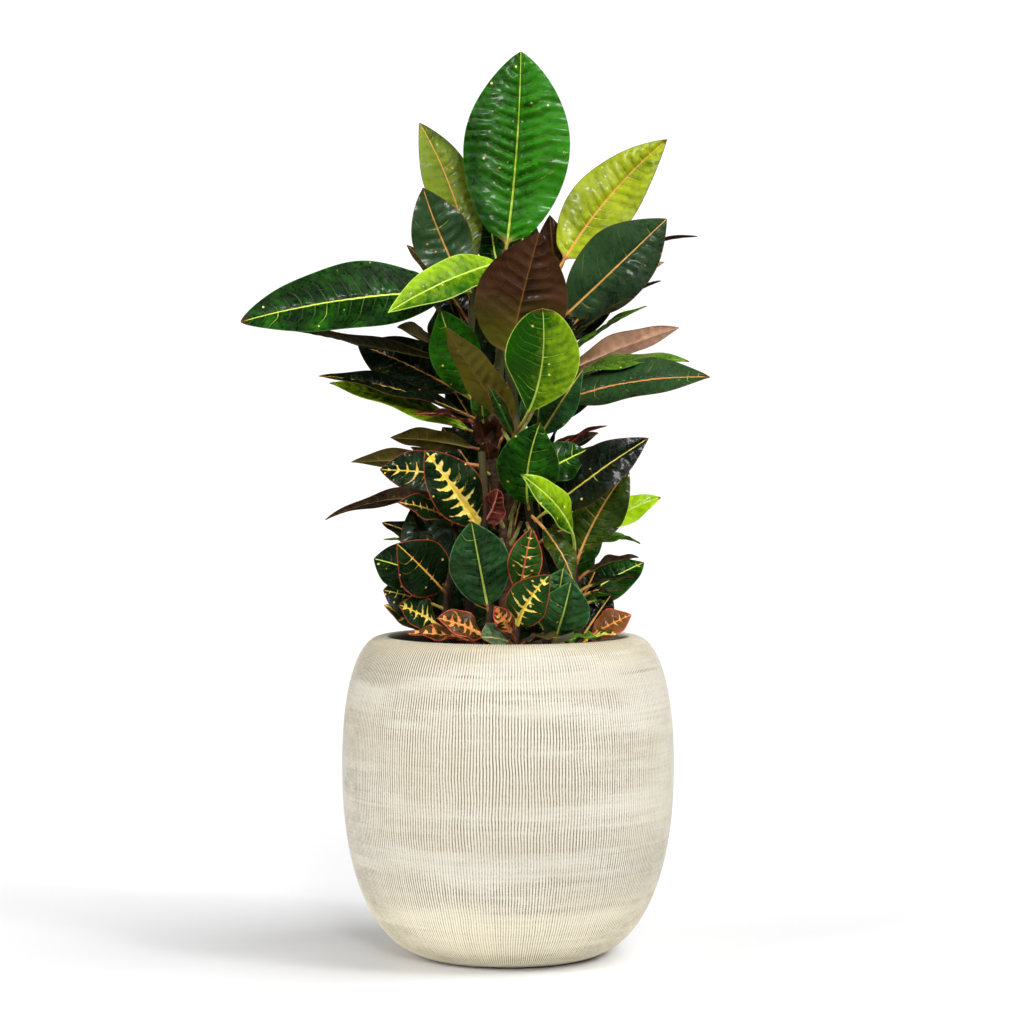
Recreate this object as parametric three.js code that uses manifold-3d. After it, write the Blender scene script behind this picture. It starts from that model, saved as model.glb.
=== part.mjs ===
// A potted croton: a round ribbed planter, moist soil, and a bushy croton of several leafy stems.
// Units are millimetres, +Z is up, and the origin is the middle of the planter's flat foot.
import * as THREE from "three";
import { mergeVertices } from "three/addons/utils/BufferGeometryUtils.js";
import Module from "manifold-3d";

const wasm = await Module();
wasm.setup();

// Driving dimensions of the planter
const PLANTER_RADIUS = 180;
const PLANTER_HEIGHT = 346;
const BELLY_HEIGHT = 206;
const FOOT_RADIUS = 78;
const LIP_RADIUS = 135;
const CURVE_POWER = 2.25;
const WALL = 12;
const ROUND_SIDES = 44;

// Soil and the clearances between touching pieces
const SOIL_LEVEL = 322;
const SOIL_UNEVENNESS = 3;
const SEAT_GAP = 0.3;

// Leaves and stems
const BLADE_THICKNESS = 1;
const MIDRIB_DEPTH = 1.4;
const STALK_WIDTH = 4;
const STALK_THICKNESS = 3;
const ROW_LENGTH = 30;
const FOLD_DEGREES = 10;
const CURL = 0.05;
const EDGE_WAVE = 2.5;
const WAVES = 2;
const WAVE_SHIFT = 0.37;
const STEM_SIDES = 6;
const STEM_STEPS = 4;
const CURVE_SAMPLES = 12;

const FOLIAGE = { roughness: 0.4, metalness: 0 };
const LOOKS = {
  ceramic: { color: "#e4dcc6", roughness: 0.55, metalness: 0 },
  soil: { color: "#3a2a1e", roughness: 0.95, metalness: 0 },
  bark: { color: "#5a4030", roughness: 0.85, metalness: 0 },
  deep: { color: "#1d5a22", ...FOLIAGE },
  dark: { color: "#173a26", ...FOLIAGE },
  green: { color: "#3f8a2a", ...FOLIAGE },
  lime: { color: "#86b62c", ...FOLIAGE },
  yellow: { color: "#a6b53a", ...FOLIAGE },
  olive: { color: "#5f6a2c", ...FOLIAGE },
  bronze: { color: "#5b3a22", ...FOLIAGE },
  brown: { color: "#6e5236", ...FOLIAGE },
  pink: { color: "#a97b6c", ...FOLIAGE },
  purple: { color: "#4a2430", ...FOLIAGE },
  grey: { color: "#6f8a6c", ...FOLIAGE },
  orange: { color: "#b5622e", ...FOLIAGE },
  yellow_veined: { color: "#5c6a1e", ...FOLIAGE },
  red_veined: { color: "#7a4a2c", ...FOLIAGE },
};

// The stems, each a smooth curve through a few points, thinner towards its top.
// The four upper shoots spring from the trunk, and the others stand in the soil.
const STEMS = [
  { name: "trunk", look: "bark", radius: [11, 7],
    points: [[0, 5, 290], [0, 4, 428], [-5, 2, 493], [-20, 0, 535], [-18, 2, 570], [-10, 6, 625]] },
  { name: "crown", look: "deep", radius: [6, 4], from: "trunk",
    points: [[-12, 5, 612], [-6, 14, 680], [-5, 20, 765]] },
  { name: "left_shoot", look: "dark", radius: [6, 3.5], from: "trunk",
    points: [[-19, 1, 548], [-34, 8, 590], [-41, 14, 650], [-37, 15, 725]] },
  { name: "right_shoot", look: "dark", radius: [7, 3.5], from: "trunk",
    points: [[-3, 3, 480], [25, 10, 540], [42, 18, 600], [50, 22, 680], [52, 25, 745]] },
  { name: "front_shoot", look: "green", radius: [6, 4], from: "trunk",
    points: [[-8, 0, 500], [8, -34, 545], [6, -42, 600], [-2, -40, 660], [-6, -36, 708]] },
  { name: "low_left", look: "dark", radius: [7, 4],
    points: [[-42, -10, 290], [-42, -15, 380], [-32, -24, 440], [-25, -28, 480], [-28, -26, 545]] },
  { name: "low_right", look: "deep", radius: [7, 4],
    points: [[42, 0, 290], [44, -10, 380], [33, -22, 440], [23, -28, 480], [22, -28, 530]] },
  { name: "base_left", look: "dark", radius: [6, 3.5],
    points: [[-72, -12, 290], [-68, -20, 360], [-60, -22, 430], [-56, -18, 470]] },
  { name: "base_right", look: "dark", radius: [6, 3.5],
    points: [[80, -12, 290], [76, -18, 360], [71, -18, 430], [80, -14, 495]] },
  { name: "front_a", look: "deep", radius: [5, 3.5],
    points: [[-26, -72, 290], [-22, -76, 350], [-18, -76, 385]] },
  { name: "front_b", look: "green", radius: [5, 3.5],
    points: [[5, -78, 290], [8, -80, 350], [12, -78, 405]] },
  { name: "front_c", look: "deep", radius: [5, 3.5],
    points: [[48, -70, 290], [46, -74, 350], [42, -70, 415]] },
  { name: "back_low", look: "dark", radius: [7, 4],
    points: [[-20, 52, 290], [-18, 56, 380], [-12, 52, 470], [-14, 46, 545]] },
  { name: "back_right", look: "deep", radius: [6, 4],
    points: [[40, 50, 290], [46, 58, 370], [42, 60, 450], [36, 54, 500]] },
];

// The leaves that show, by hand. Each springs from its stem at the height `at` and reaches to `tip`.
// `face` is where its upper side looks, and by default that is up. `bow` arches the midrib towards
// that side, `sweep` bends it sideways, and `wide` is how far along the leaf is widest.
const LEAVES = [
  // Top of the plant
  { name: "crown_tall", stem: "crown", at: 745, tip: [14, 30, 981], width: 118, look: "deep",
    face: [0, -1, 0.15], bow: -4, sweep: 4, wide: 0.5, base: 0.6, end: 0.75, stalk: 24 },
  { name: "crown_left_olive", stem: "left_shoot", at: 722, tip: [-98, 75, 909], width: 58, look: "olive",
    face: [0.2, -1, 0.2], bow: -4, sweep: 12, wide: 0.55 },
  { name: "crown_left_dark", stem: "left_shoot", at: 708, tip: [-92, 8, 831], width: 66, look: "dark",
    face: [0.1, -1, 0.2], bow: -5, sweep: -3 },
  { name: "crown_right_brown", stem: "right_shoot", at: 722, tip: [46, 64, 806], width: 34, look: "bronze",
    face: [0, 1, 0.4], fused: true },
  { name: "lime_fold", stem: "crown", at: 752, tip: [-126, -88, 692], width: 48, look: "lime",
    face: [0.3, -0.7, 0.6], bow: 12, wide: 0.45, stalk: 6 },
  { name: "bronze_back", stem: "front_shoot", at: 640, tip: [33, -82, 776], width: 100, look: "bronze",
    face: [0, 1, 0.2], bow: -6, sweep: 2, stalk: 8, base: 0.6, wide: 0.45 },
  // Left side, upper half
  { name: "left_big", stem: "left_shoot", at: 718, tip: [-285, -45, 684], width: 86, look: "deep",
    face: [0.05, -0.85, 0.5], bow: 18, stalk: 30, wide: 0.45, end: 0.7 },
  { name: "left_under", stem: "left_shoot", at: 640, tip: [-266, 25, 685], width: 52, look: "dark",
    face: [0, 0.2, 1], bow: 0 },
  { name: "left_sliver", stem: "left_shoot", at: 682, tip: [-112, 70, 774], width: 24, look: "brown",
    face: [0, -0.5, 1], fused: true },
  { name: "left_broad", stem: "left_shoot", at: 600, tip: [-166, 62, 664], width: 76, look: "dark",
    face: [0.2, -0.8, 0.6], bow: 6 },
  { name: "left_long", stem: "left_shoot", at: 578, tip: [-202, -35, 627], width: 50, look: "dark",
    face: [0, -0.45, 1], bow: 10 },
  { name: "lime_left", stem: "left_shoot", at: 560, tip: [-193, -5, 620], width: 50, look: "lime",
    face: [0, -0.5, 1], bow: 6 },
  { name: "glossy_left", stem: "left_shoot", at: 588, tip: [-72, -42, 697], width: 58, look: "dark",
    face: [0.1, -1, 0.3], bow: -6 },
  { name: "bronze_center", stem: "front_shoot", at: 572, tip: [-65, -88, 677], width: 54, look: "bronze",
    face: [0.6, 0.8, 0.4], bow: -4, wide: 0.42, stalk: 8 },
  { name: "lime_center", stem: "front_shoot", at: 566, tip: [36, -125, 694], width: 80, look: "lime",
    face: [0, -1, 0.3], bow: 8, sweep: 13, stalk: 30, wide: 0.6, end: 0.45 },
  // Right side, upper half
  { name: "right_top", stem: "right_shoot", at: 738, tip: [175, 60, 889], width: 73, look: "yellow",
    face: [0, -1, 0.2], bow: -6, sweep: -10, wide: 0.42 },
  { name: "right_dark", stem: "right_shoot", at: 682, tip: [170, -25, 795], width: 84, look: "dark",
    face: [0.1, -0.9, 0.4], bow: 6, sweep: 2, base: 0.7 },
  { name: "right_sliver", stem: "right_shoot", at: 700, tip: [210, 85, 785], width: 32, look: "brown",
    face: [0, 0.1, 1], bow: 20 },
  { name: "right_pink", stem: "right_shoot", at: 688, tip: [174, 100, 757], width: 30, look: "pink",
    face: [0, 0.8, 0.6], fused: true },
  { name: "right_narrow", stem: "right_shoot", at: 664, tip: [166, 20, 732], width: 32, look: "dark",
    face: [0, 0.1, 1] },
  { name: "right_band", stem: "right_shoot", at: 645, tip: [131, -50, 709], width: 26, look: "dark",
    face: [0, -0.4, 1] },
  { name: "right_bright", stem: "right_shoot", at: 634, tip: [150, 5, 704], width: 28, look: "green",
    face: [0, -0.2, 1] },
  { name: "right_pink2", stem: "right_shoot", at: 624, tip: [187, 30, 681], width: 36, look: "pink",
    face: [0, 0.8, 0.7] },
  { name: "right_wavy", stem: "right_shoot", at: 612, tip: [195, -18, 643], width: 48, look: "green",
    face: [0, -0.35, 1], bow: 14 },
  { name: "right_long", stem: "right_shoot", at: 592, tip: [214, -62, 625], width: 60, look: "dark",
    face: [0, -0.75, 0.65], bow: 15 },
  { name: "right_blue", stem: "right_shoot", at: 552, tip: [79, -55, 632], width: 40, look: "dark",
    face: [0, -1, 0.3] },
  { name: "right_purple", stem: "low_right", at: 528, tip: [106, -15, 574], width: 26, look: "purple",
    face: [0, -0.1, 1] },
  { name: "right_tan", stem: "low_right", at: 516, tip: [98, 15, 566], width: 28, look: "brown",
    face: [0, 0.8, 0.8] },
  // Middle
  { name: "center_small", stem: "left_shoot", at: 566, tip: [-30, -52, 625], width: 24, look: "green",
    face: [0, -1, 0.2] },
  { name: "center_strip", stem: "front_shoot", at: 556, tip: [-22, -80, 618], width: 16, look: "red_veined",
    face: [0, -1, 0.2], stalk: 10 },
  { name: "center_round", stem: "low_right", at: 480, tip: [34, -85, 576], width: 68, look: "deep",
    face: [0, -1, 0.25], stalk: 10, sweep: -7 },
  { name: "center_round2", stem: "low_right", at: 512, tip: [83, -45, 547], width: 46, look: "deep",
    face: [0, -1, 0.4] },
  // Right side, lower half
  { name: "right_low", stem: "low_right", at: 468, tip: [148, -80, 560], width: 58, look: "dark",
    face: [0.1, -0.8, 0.5] },
  { name: "lime_small", stem: "base_right", at: 434, tip: [14, -100, 522], width: 38, look: "lime",
    face: [0.2, -0.8, 0.5], bow: 20, stalk: 36, wide: 0.5 },
  { name: "right_olive", stem: "base_right", at: 418, tip: [130, -19, 527], width: 56, look: "olive",
    face: [0, -0.9, 0.3], sweep: -5 },
  { name: "right_hang", stem: "low_right", at: 478, tip: [70, -66, 408], width: 32, look: "olive",
    face: [0.5, -0.8, 0.1], bow: 10, stalk: 24 },
  { name: "right_lime", stem: "base_right", at: 446, tip: [165, -12, 496], width: 34, look: "lime",
    face: [0, -0.8, 0.5], sweep: -3 },
  { name: "brown_small", stem: "low_right", at: 446, tip: [64, -30, 464], width: 20, look: "brown",
    face: [0, -1, 0.3] },
  // Left side, lower half
  { name: "hero_left", stem: "low_left", at: 460, tip: [-88, -68, 547], width: 60, look: "yellow_veined",
    face: [0.1, -1, 0.3], stalk: 6 },
  { name: "red_fold", stem: "low_left", at: 467, tip: [-10, -60, 506], width: 30, look: "purple",
    face: [0.5, 0.7, 0.2], stalk: 3, wide: 0.32, base: 0.5 },
  { name: "left_curl", stem: "trunk", at: 545, tip: [-126, -40, 561], width: 30, look: "olive",
    face: [0, 0.8, 0.6] },
  { name: "left_red", stem: "left_shoot", at: 572, tip: [-100, -50, 586], width: 20, look: "purple",
    face: [0, -0.4, 0.9], fused: true },
  { name: "left_var", stem: "low_left", at: 515, tip: [-139, 2, 526], width: 50, look: "yellow_veined",
    face: [0, -1, 0.35] },
  { name: "left_olive", stem: "low_left", at: 530, tip: [-173, 60, 534], width: 32, look: "olive",
    face: [0, 0.8, 0.7] },
  { name: "left_brown", stem: "low_left", at: 484, tip: [-194, -66, 474], width: 27, look: "brown",
    face: [0, 0.6, 0.8], bow: 22 },
  { name: "left_fall", stem: "base_left", at: 468, tip: [-116, -66, 492], width: 32, look: "yellow_veined",
    face: [0, -0.8, 0.6] },
  { name: "dark_a", stem: "base_left", at: 396, tip: [-102, -20, 488], width: 60, look: "dark",
    face: [0, -1, 0.3] },
  { name: "dark_b", stem: "base_left", at: 410, tip: [-60, 2, 500], width: 54, look: "dark",
    face: [0, -1, 0.3], bow: -8 },
  { name: "left_light", stem: "base_left", at: 432, tip: [-136, 20, 450], width: 22, look: "green",
    face: [0, -0.2, 1] },
  { name: "left_round", stem: "base_left", at: 402, tip: [-145, -15, 430], width: 62, look: "deep",
    face: [0, -0.9, 0.5] },
  { name: "left_big_var", stem: "base_left", at: 390, tip: [-117, -75, 448], width: 64, look: "yellow_veined",
    face: [0, -1, 0.35], stalk: 12 },
  { name: "left_low_dark", stem: "base_left", at: 375, tip: [-134, -32, 397], width: 50, look: "dark",
    face: [0, -1, 0.4] },
  { name: "left_low_var", stem: "base_left", at: 352, tip: [-116, -62, 383], width: 40, look: "yellow_veined",
    face: [0, -0.9, 0.5] },
  { name: "left_low_yel", stem: "base_left", at: 340, tip: [-133, -30, 381], width: 22, look: "yellow_veined",
    face: [0, -0.9, 0.5] },
  // In front, above the rim
  { name: "front_dark", stem: "front_a", at: 372, tip: [-38, -118, 473], width: 66, look: "deep",
    face: [0, -1, 0.2], stalk: 10, bow: -4, base: 0.62 },
  { name: "front_orange", stem: "front_a", at: 346, tip: [-74, -108, 372], width: 37, look: "orange",
    face: [0.2, -0.8, 0.7], stalk: 8 },
  { name: "front_rim", stem: "front_a", at: 338, tip: [-106, -72, 353], width: 34, look: "orange",
    face: [0, -0.35, 1] },
  { name: "front_fold", stem: "front_b", at: 345, tip: [-14, -116, 385], width: 22, look: "orange",
    face: [0, -1, 0.3] },
  { name: "front_cross", stem: "front_b", at: 338, tip: [-28, -124, 353], width: 40, look: "grey",
    face: [0, -0.8, 0.6] },
  { name: "front_flat", stem: "front_b", at: 336, tip: [54, -122, 352], width: 26, look: "brown",
    face: [0, -0.3, 1] },
  { name: "front_red", stem: "front_b", at: 392, tip: [25, -105, 466], width: 37, look: "red_veined",
    face: [0, -1, 0.2], stalk: 6 },
  { name: "front_yel", stem: "front_b", at: 356, tip: [43, -148, 419], width: 46, look: "yellow_veined",
    face: [0, -1, 0.25], sweep: -4, stalk: 8 },
  { name: "front_rib1", stem: "front_c", at: 348, tip: [58, -100, 423], width: 52, look: "deep",
    face: [0, -1, 0.25] },
  { name: "front_rib2", stem: "front_c", at: 338, tip: [66, -122, 411], width: 56, look: "deep",
    face: [0.2, -1, 0.25] },
  { name: "front_drape", stem: "front_c", at: 332, tip: [92, -100, 352], width: 24, look: "green",
    face: [0, -0.3, 1] },
  // Right, above the rim
  { name: "right_base", stem: "base_right", at: 336, tip: [133, -25, 370], width: 34, look: "orange",
    face: [0, -0.8, 0.6] },
  { name: "right_base_pale", stem: "base_right", at: 334, tip: [116, -72, 352],
    width: 18, look: "yellow_veined", face: [0, -0.7, 0.7] },
  { name: "fan_a", stem: "base_right", at: 430, tip: [145, 30, 445], width: 30, look: "green",
    face: [0, -0.2, 1], bow: 14 },
  { name: "fan_b", stem: "base_right", at: 404, tip: [141, -15, 432], width: 28, look: "brown",
    face: [0, 0.3, 1], bow: 8 },
  { name: "fan_c", stem: "base_right", at: 392, tip: [138, 10, 409], width: 26, look: "dark",
    face: [0, -0.1, 1] },
  { name: "fan_d", stem: "base_right", at: 384, tip: [122, -40, 398], width: 26, look: "dark",
    face: [0, -0.2, 1] },
  { name: "fan_e", stem: "base_right", at: 372, tip: [104, -5, 382], width: 24, look: "green",
    face: [0, -0.1, 1] },
  { name: "inner_a", stem: "back_low", at: 352, tip: [-84, 34, 432], width: 66, look: "dark",
    face: [0, -1, 0.3] },
  { name: "inner_b", stem: "back_low", at: 366, tip: [-30, 30, 470], width: 64, look: "dark",
    face: [0, -1, 0.3] },
  { name: "inner_c", stem: "back_low", at: 420, tip: [-86, 36, 512], width: 60, look: "dark",
    face: [0, -1, 0.3] },
  { name: "inner_d", stem: "back_low", at: 440, tip: [-24, 28, 548], width: 62, look: "dark",
    face: [0, -1, 0.3] },
  { name: "inner_e", stem: "back_low", at: 486, tip: [-72, 36, 572], width: 54, look: "dark",
    face: [0, -1, 0.3] },
  { name: "inner_f", stem: "back_right", at: 350, tip: [22, 29, 473], width: 60, look: "dark",
    face: [0, -1, 0.3] },
  { name: "inner_g", stem: "back_right", at: 380, tip: [84, 42, 462], width: 60, look: "deep",
    face: [0, -1, 0.3] },
  { name: "inner_h", stem: "back_right", at: 430, tip: [26, 40, 528], width: 60, look: "dark",
    face: [0, -1, 0.3] },
  { name: "inner_i", stem: "back_right", at: 462, tip: [70, 36, 552], width: 58, look: "deep",
    face: [0, -1, 0.3] },
  { name: "inner_j", stem: "back_low", at: 338, tip: [-94, 44, 412], width: 58, look: "dark",
    face: [0, -1, 0.3] },
  { name: "inner_k", stem: "back_right", at: 338, tip: [-50, 26, 384], width: 58, look: "dark",
    face: [0, -1, 0.3] },
  { name: "inner_l", stem: "left_shoot", at: 592, tip: [4, 40, 682], width: 56, look: "dark",
    face: [0, -1, 0.2] },
  { name: "inner_m", stem: "right_shoot", at: 560, tip: [98, 66, 650], width: 52, look: "dark",
    face: [0, -1, 0.2] },
  { name: "inner_o", stem: "left_shoot", at: 620, tip: [-44, 52, 716], width: 44, look: "dark",
    face: [0, -1, 0.2] },
  { name: "inner_n", stem: "back_low", at: 538, tip: [12, 52, 622], width: 46, look: "dark",
    face: [0, -1, 0.2] },
];
const LEAF_DEFAULTS = { face: [0, 0, 1], bow: 6, sweep: 0, stalk: 18, wide: 0.5, base: 0.8, end: 0.85 };

// The leaves that fill the plant behind and inside, by rule. Round its stem each turns by the golden
// angle within `spread` degrees about `toward`, and the higher ones are shorter and steeper.
const GOLDEN = 0.618034;
const FILLS = [
  { stem: "crown", count: 4, from: 655, to: 735, toward: 86, spread: 36, length: [140, 175] },
  { stem: "left_shoot", count: 4, from: 600, to: 675, toward: 130, spread: 60, length: [120, 165] },
  { stem: "right_shoot", count: 4, from: 550, to: 700, toward: 62, spread: 50, length: [130, 170] },
  { stem: "back_low", count: 8, from: 350, to: 540, toward: 125, spread: 120, length: [110, 165] },
  { stem: "back_right", count: 8, from: 345, to: 495, toward: 50, spread: 110, length: [100, 150] },
  { stem: "base_left", count: 2, from: 370, to: 450, toward: 140, spread: 70, length: [70, 90] },
  { stem: "base_right", count: 2, from: 360, to: 430, toward: 66, spread: 50, length: [58, 70] },
];
const FILL_RISE = [24, 60];
const FILL_ROLL = 35;
const FILL_WIDTH = 0.38;
const FILL_BOW = 0.07;

const RAD = Math.PI / 180;
const vec = (p) => new THREE.Vector3(...p);
const mix = (a, b, t) => a + (b - a) * t;
const fraction = (x) => x - Math.floor(x);

// Joining and cutting closed meshes
function toSolid(geometry) {
  const bare = geometry.clone();
  bare.deleteAttribute("normal");
  bare.deleteAttribute("uv");
  const merged = mergeVertices(bare, 1e-4);
  const numProp = 3;
  const vertProperties = new Float32Array(merged.attributes.position.array);
  const triVerts = new Uint32Array(merged.index.array);
  return new wasm.Manifold(new wasm.Mesh({ numProp, vertProperties, triVerts }));
}

function toGeometry(solid) {
  const { numProp, numVert, vertProperties, triVerts } = solid.getMesh();
  const position = new Float32Array(numVert * 3);
  for (let i = 0; i < numVert; i++) {
    position.set(vertProperties.subarray(i * numProp, i * numProp + 3), i * 3);
  }
  const geometry = new THREE.BufferGeometry();
  geometry.setAttribute("position", new THREE.BufferAttribute(position, 3));
  geometry.setIndex([...triVerts]);
  geometry.computeVertexNormals();
  return geometry;
}

// A cut may leave crumbs behind: the largest body is the piece.
function largestBody(solid) {
  return solid.decompose().reduce((best, body) => (body.volume() > best.volume() ? body : best));
}

// A closed skin over a row of rings with equal point counts. On the columns that `mirrored` names,
// each quad is split along its other diagonal.
function loft(rings, mirrored = () => false) {
  const count = rings[0].length;
  const triangles = [];
  for (let i = 0; i + 1 < rings.length; i++) {
    for (let j = 0; j < count; j++) {
      const a = i * count + j;
      const b = i * count + ((j + 1) % count);
      const c = a + count;
      const d = b + count;
      if (mirrored(j)) triangles.push(a, b, c, b, d, c);
      else triangles.push(a, b, d, a, d, c);
    }
  }
  const last = (rings.length - 1) * count;
  for (let j = 1; j + 1 < count; j++) {
    triangles.push(0, j + 1, j, last, last + j, last + j + 1);
  }
  const geometry = new THREE.BufferGeometry().setFromPoints(rings.flat());
  geometry.setIndex(triangles);
  return geometry;
}

// Planter and soil
function sideRadius(z, inset) {
  const lower = z < BELLY_HEIGHT;
  const edge = lower ? FOOT_RADIUS : LIP_RADIUS;
  const reach = lower ? BELLY_HEIGHT : PLANTER_HEIGHT - BELLY_HEIGHT;
  const drop = Math.abs(z - BELLY_HEIGHT) / reach;
  return edge + (PLANTER_RADIUS - edge) * (1 - drop ** CURVE_POWER) ** (1 / CURVE_POWER) - inset;
}

function planterGeometry() {
  const outer = [0, 0.012, 0.05, 0.12, 0.24, 0.4, 0.56, 0.7, 0.82, 0.9, 0.95, 0.982, 0.996];
  const inner = [0.93, 0.75, 0.3, 0.05];
  const profile = [
    [0, 0],
    ...outer.map((t) => [sideRadius(t * PLANTER_HEIGHT, 0), t * PLANTER_HEIGHT]),
    [LIP_RADIUS, PLANTER_HEIGHT],
    [LIP_RADIUS - 5, PLANTER_HEIGHT - 2],
    [LIP_RADIUS - 7, PLANTER_HEIGHT - 7],
    ...inner.map((t) => [sideRadius(t * PLANTER_HEIGHT, WALL), t * PLANTER_HEIGHT]),
    [FOOT_RADIUS - WALL, WALL],
    [0, WALL],
  ];
  return latheGeometry(profile);
}

function soilGeometry() {
  const inner = [0.05, 0.3, 0.75];
  const inset = WALL + 2 * SEAT_GAP;
  const profile = [
    [0, WALL + SEAT_GAP],
    [FOOT_RADIUS - WALL - 2 * SEAT_GAP, WALL + SEAT_GAP],
    ...inner.map((t) => [sideRadius(t * PLANTER_HEIGHT, inset), t * PLANTER_HEIGHT]),
    [sideRadius(0.93 * PLANTER_HEIGHT, inset), SOIL_LEVEL - 3],
    [105, SOIL_LEVEL],
    [55, SOIL_LEVEL + 2],
    [0, SOIL_LEVEL + 3],
  ];
  const geometry = latheGeometry(profile);
  const place = geometry.attributes.position;
  for (let i = 0; i < place.count; i++) {
    const [x, y, z] = [place.getX(i), place.getY(i), place.getZ(i)];
    const r = Math.hypot(x, y);
    if (z < SOIL_LEVEL - 1 || r < 1) continue;
    place.setZ(i, z + SOIL_UNEVENNESS * Math.sin(0.05 * x + 1) * Math.cos(0.06 * y));
  }
  return geometry;
}

function latheGeometry(profile) {
  const points = profile.map(([r, z]) => new THREE.Vector2(r, z));
  return new THREE.LatheGeometry(points, ROUND_SIDES).rotateX(Math.PI / 2);
}

// Stems
const stemNamed = (name) => STEMS.find((stem) => stem.name === name);

function stemCurve(stem) {
  return new THREE.CatmullRomCurve3(stem.points.map(vec), false, "catmullrom", 0.5);
}

function pointAtHeight(stem, height) {
  const samples = stemCurve(stem).getPoints(CURVE_SAMPLES * (stem.points.length - 1));
  const above = samples.findIndex((p) => p.z >= height);
  const low = samples[above - 1];
  const high = samples[above];
  return low.clone().lerp(high, (height - low.z) / (high.z - low.z));
}

function stemSolid(stem, inflate = 0) {
  const steps = STEM_STEPS * (stem.points.length - 1);
  const curve = stemCurve(stem);
  const rings = [];
  for (let i = 0; i <= steps; i++) {
    const centre = curve.getPoint(i / steps);
    if (i === 0) centre.z -= inflate;
    if (i === steps) centre.z += inflate;
    const radius = mix(...stem.radius, i / steps) + inflate / Math.cos(Math.PI / STEM_SIDES);
    const ring = [];
    for (let j = 0; j < STEM_SIDES; j++) {
      const angle = (2 * Math.PI * j) / STEM_SIDES;
      ring.push(new THREE.Vector3(Math.cos(angle), Math.sin(angle), 0).multiplyScalar(radius).add(centre));
    }
    rings.push(ring);
  }
  return toSolid(loft(rings));
}

// Leaves
function midribPoint(a, m, b, t) {
  const s = 1 - t;
  return a.clone().multiplyScalar(s * s).addScaledVector(m, 2 * s * t).addScaledVector(b, t * t);
}

function halfWidth(leaf, v) {
  const skew = Math.log(0.5) / Math.log(leaf.wide);
  const power = mix(leaf.base, leaf.end, v);
  return Math.max((leaf.width / 2) * Math.sin(Math.PI * v ** skew) ** power, 0.01 * leaf.width);
}

// The leaf's frame: its root on the stem, the midrib's control point, and its upper side's direction.
function leafFrame(leaf) {
  const root = pointAtHeight(stemNamed(leaf.stem), leaf.at);
  const tip = vec(leaf.tip);
  const chord = tip.clone().sub(root);
  const length = chord.length();
  chord.normalize();
  const up = vec(leaf.face);
  up.addScaledVector(chord, -up.dot(chord)).normalize();
  const side = chord.clone().cross(up);
  const middle = root.clone().add(tip).multiplyScalar(0.5);
  middle.addScaledVector(up, 2 * leaf.bow).addScaledVector(side, 2 * leaf.sweep);
  return { root, tip, middle, up, length };
}

// One section across the leaf: its midrib point, its half width, and how far its margins rise.
function leafSection(leaf, frame, t, half, v, thickness, ribDepth) {
  const centre = midribPoint(frame.root, frame.middle, frame.tip, t);
  const along = frame.middle.clone().sub(frame.root).multiplyScalar(1 - t);
  along.addScaledVector(frame.tip.clone().sub(frame.middle), t).normalize();
  const up = frame.up.clone().addScaledVector(along, -frame.up.dot(along)).normalize();
  const across = along.clone().cross(up);
  const fold = FOLD_DEGREES * RAD;
  const point = (s, lift) => {
    const wave = Math.sin(2 * Math.PI * (WAVES * v + leaf.phase + (s > 0 ? 0.25 : 0)));
    const ruffle = EDGE_WAVE * Math.abs(s) * wave * Math.sin(Math.PI * v);
    const rise = half * (Math.sin(fold) * Math.abs(s) - CURL * s * s) + ruffle;
    return centre.clone().addScaledVector(across, s * half * Math.cos(fold)).addScaledVector(up, rise + lift);
  };
  const t2 = thickness / 2;
  return [point(-1, t2), point(0, t2), point(1, t2), point(1, -t2), point(0, -t2 - ribDepth), point(-1, -t2)];
}

function leafSolid(leaf) {
  const frame = leafFrame(leaf);
  const rows = Math.min(8, Math.max(4, Math.round(frame.length / ROW_LENGTH)));
  const bladeStart = Math.min(0.6, leaf.stalk / frame.length);
  const rings = [leafSection(leaf, frame, 0, STALK_WIDTH / 2, 0, STALK_THICKNESS, 0)];
  for (let i = 0; i <= rows; i++) {
    const v = mix(i / rows, 0.5 - 0.5 * Math.cos((Math.PI * i) / rows), 0.6);
    const t = mix(bladeStart, 1, v);
    const half = i === 0 ? STALK_WIDTH / 2 : halfWidth(leaf, v);
    const thickness = i === 0 ? STALK_THICKNESS * 0.7 : BLADE_THICKNESS;
    rings.push(leafSection(leaf, frame, t, half, v, thickness, MIDRIB_DEPTH * (1 - v)));
  }
  return toSolid(loft(rings, (j) => j === 3 || j === 4));
}

function fillLeaves() {
  const made = [];
  for (const fill of FILLS) {
    for (let i = 0; i < fill.count; i++) {
      const t = (i + 0.5) / fill.count;
      const at = mix(fill.from, fill.to, t);
      const turn = fraction(made.length * GOLDEN) - 0.5;
      const azimuth = (fill.toward + turn * fill.spread) * RAD;
      const rise = mix(...FILL_RISE, t) * RAD;
      const length = mix(fill.length[1], fill.length[0], t);
      const reach = new THREE.Vector3(Math.cos(azimuth), Math.sin(azimuth), 0).multiplyScalar(Math.cos(rise));
      reach.z = Math.sin(rise);
      const tip = pointAtHeight(stemNamed(fill.stem), at).addScaledVector(reach, length).toArray();
      const roll = (made.length % 2 ? 1 : -1) * FILL_ROLL * RAD;
      const face = [-Math.sin(azimuth) * Math.sin(roll), Math.cos(azimuth) * Math.sin(roll), Math.cos(roll)];
      const look = stemNamed(fill.stem).look;
      made.push({ stem: fill.stem, at, tip, width: FILL_WIDTH * length, look, face, bow: FILL_BOW * length });
    }
  }
  return made;
}

// Assembly
const croton = new THREE.Group();

function addPiece(name, look, solid) {
  const mesh = new THREE.Mesh(toGeometry(solid), new THREE.MeshStandardMaterial(LOOKS[look]));
  mesh.name = name;
  croton.add(mesh);
}

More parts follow.
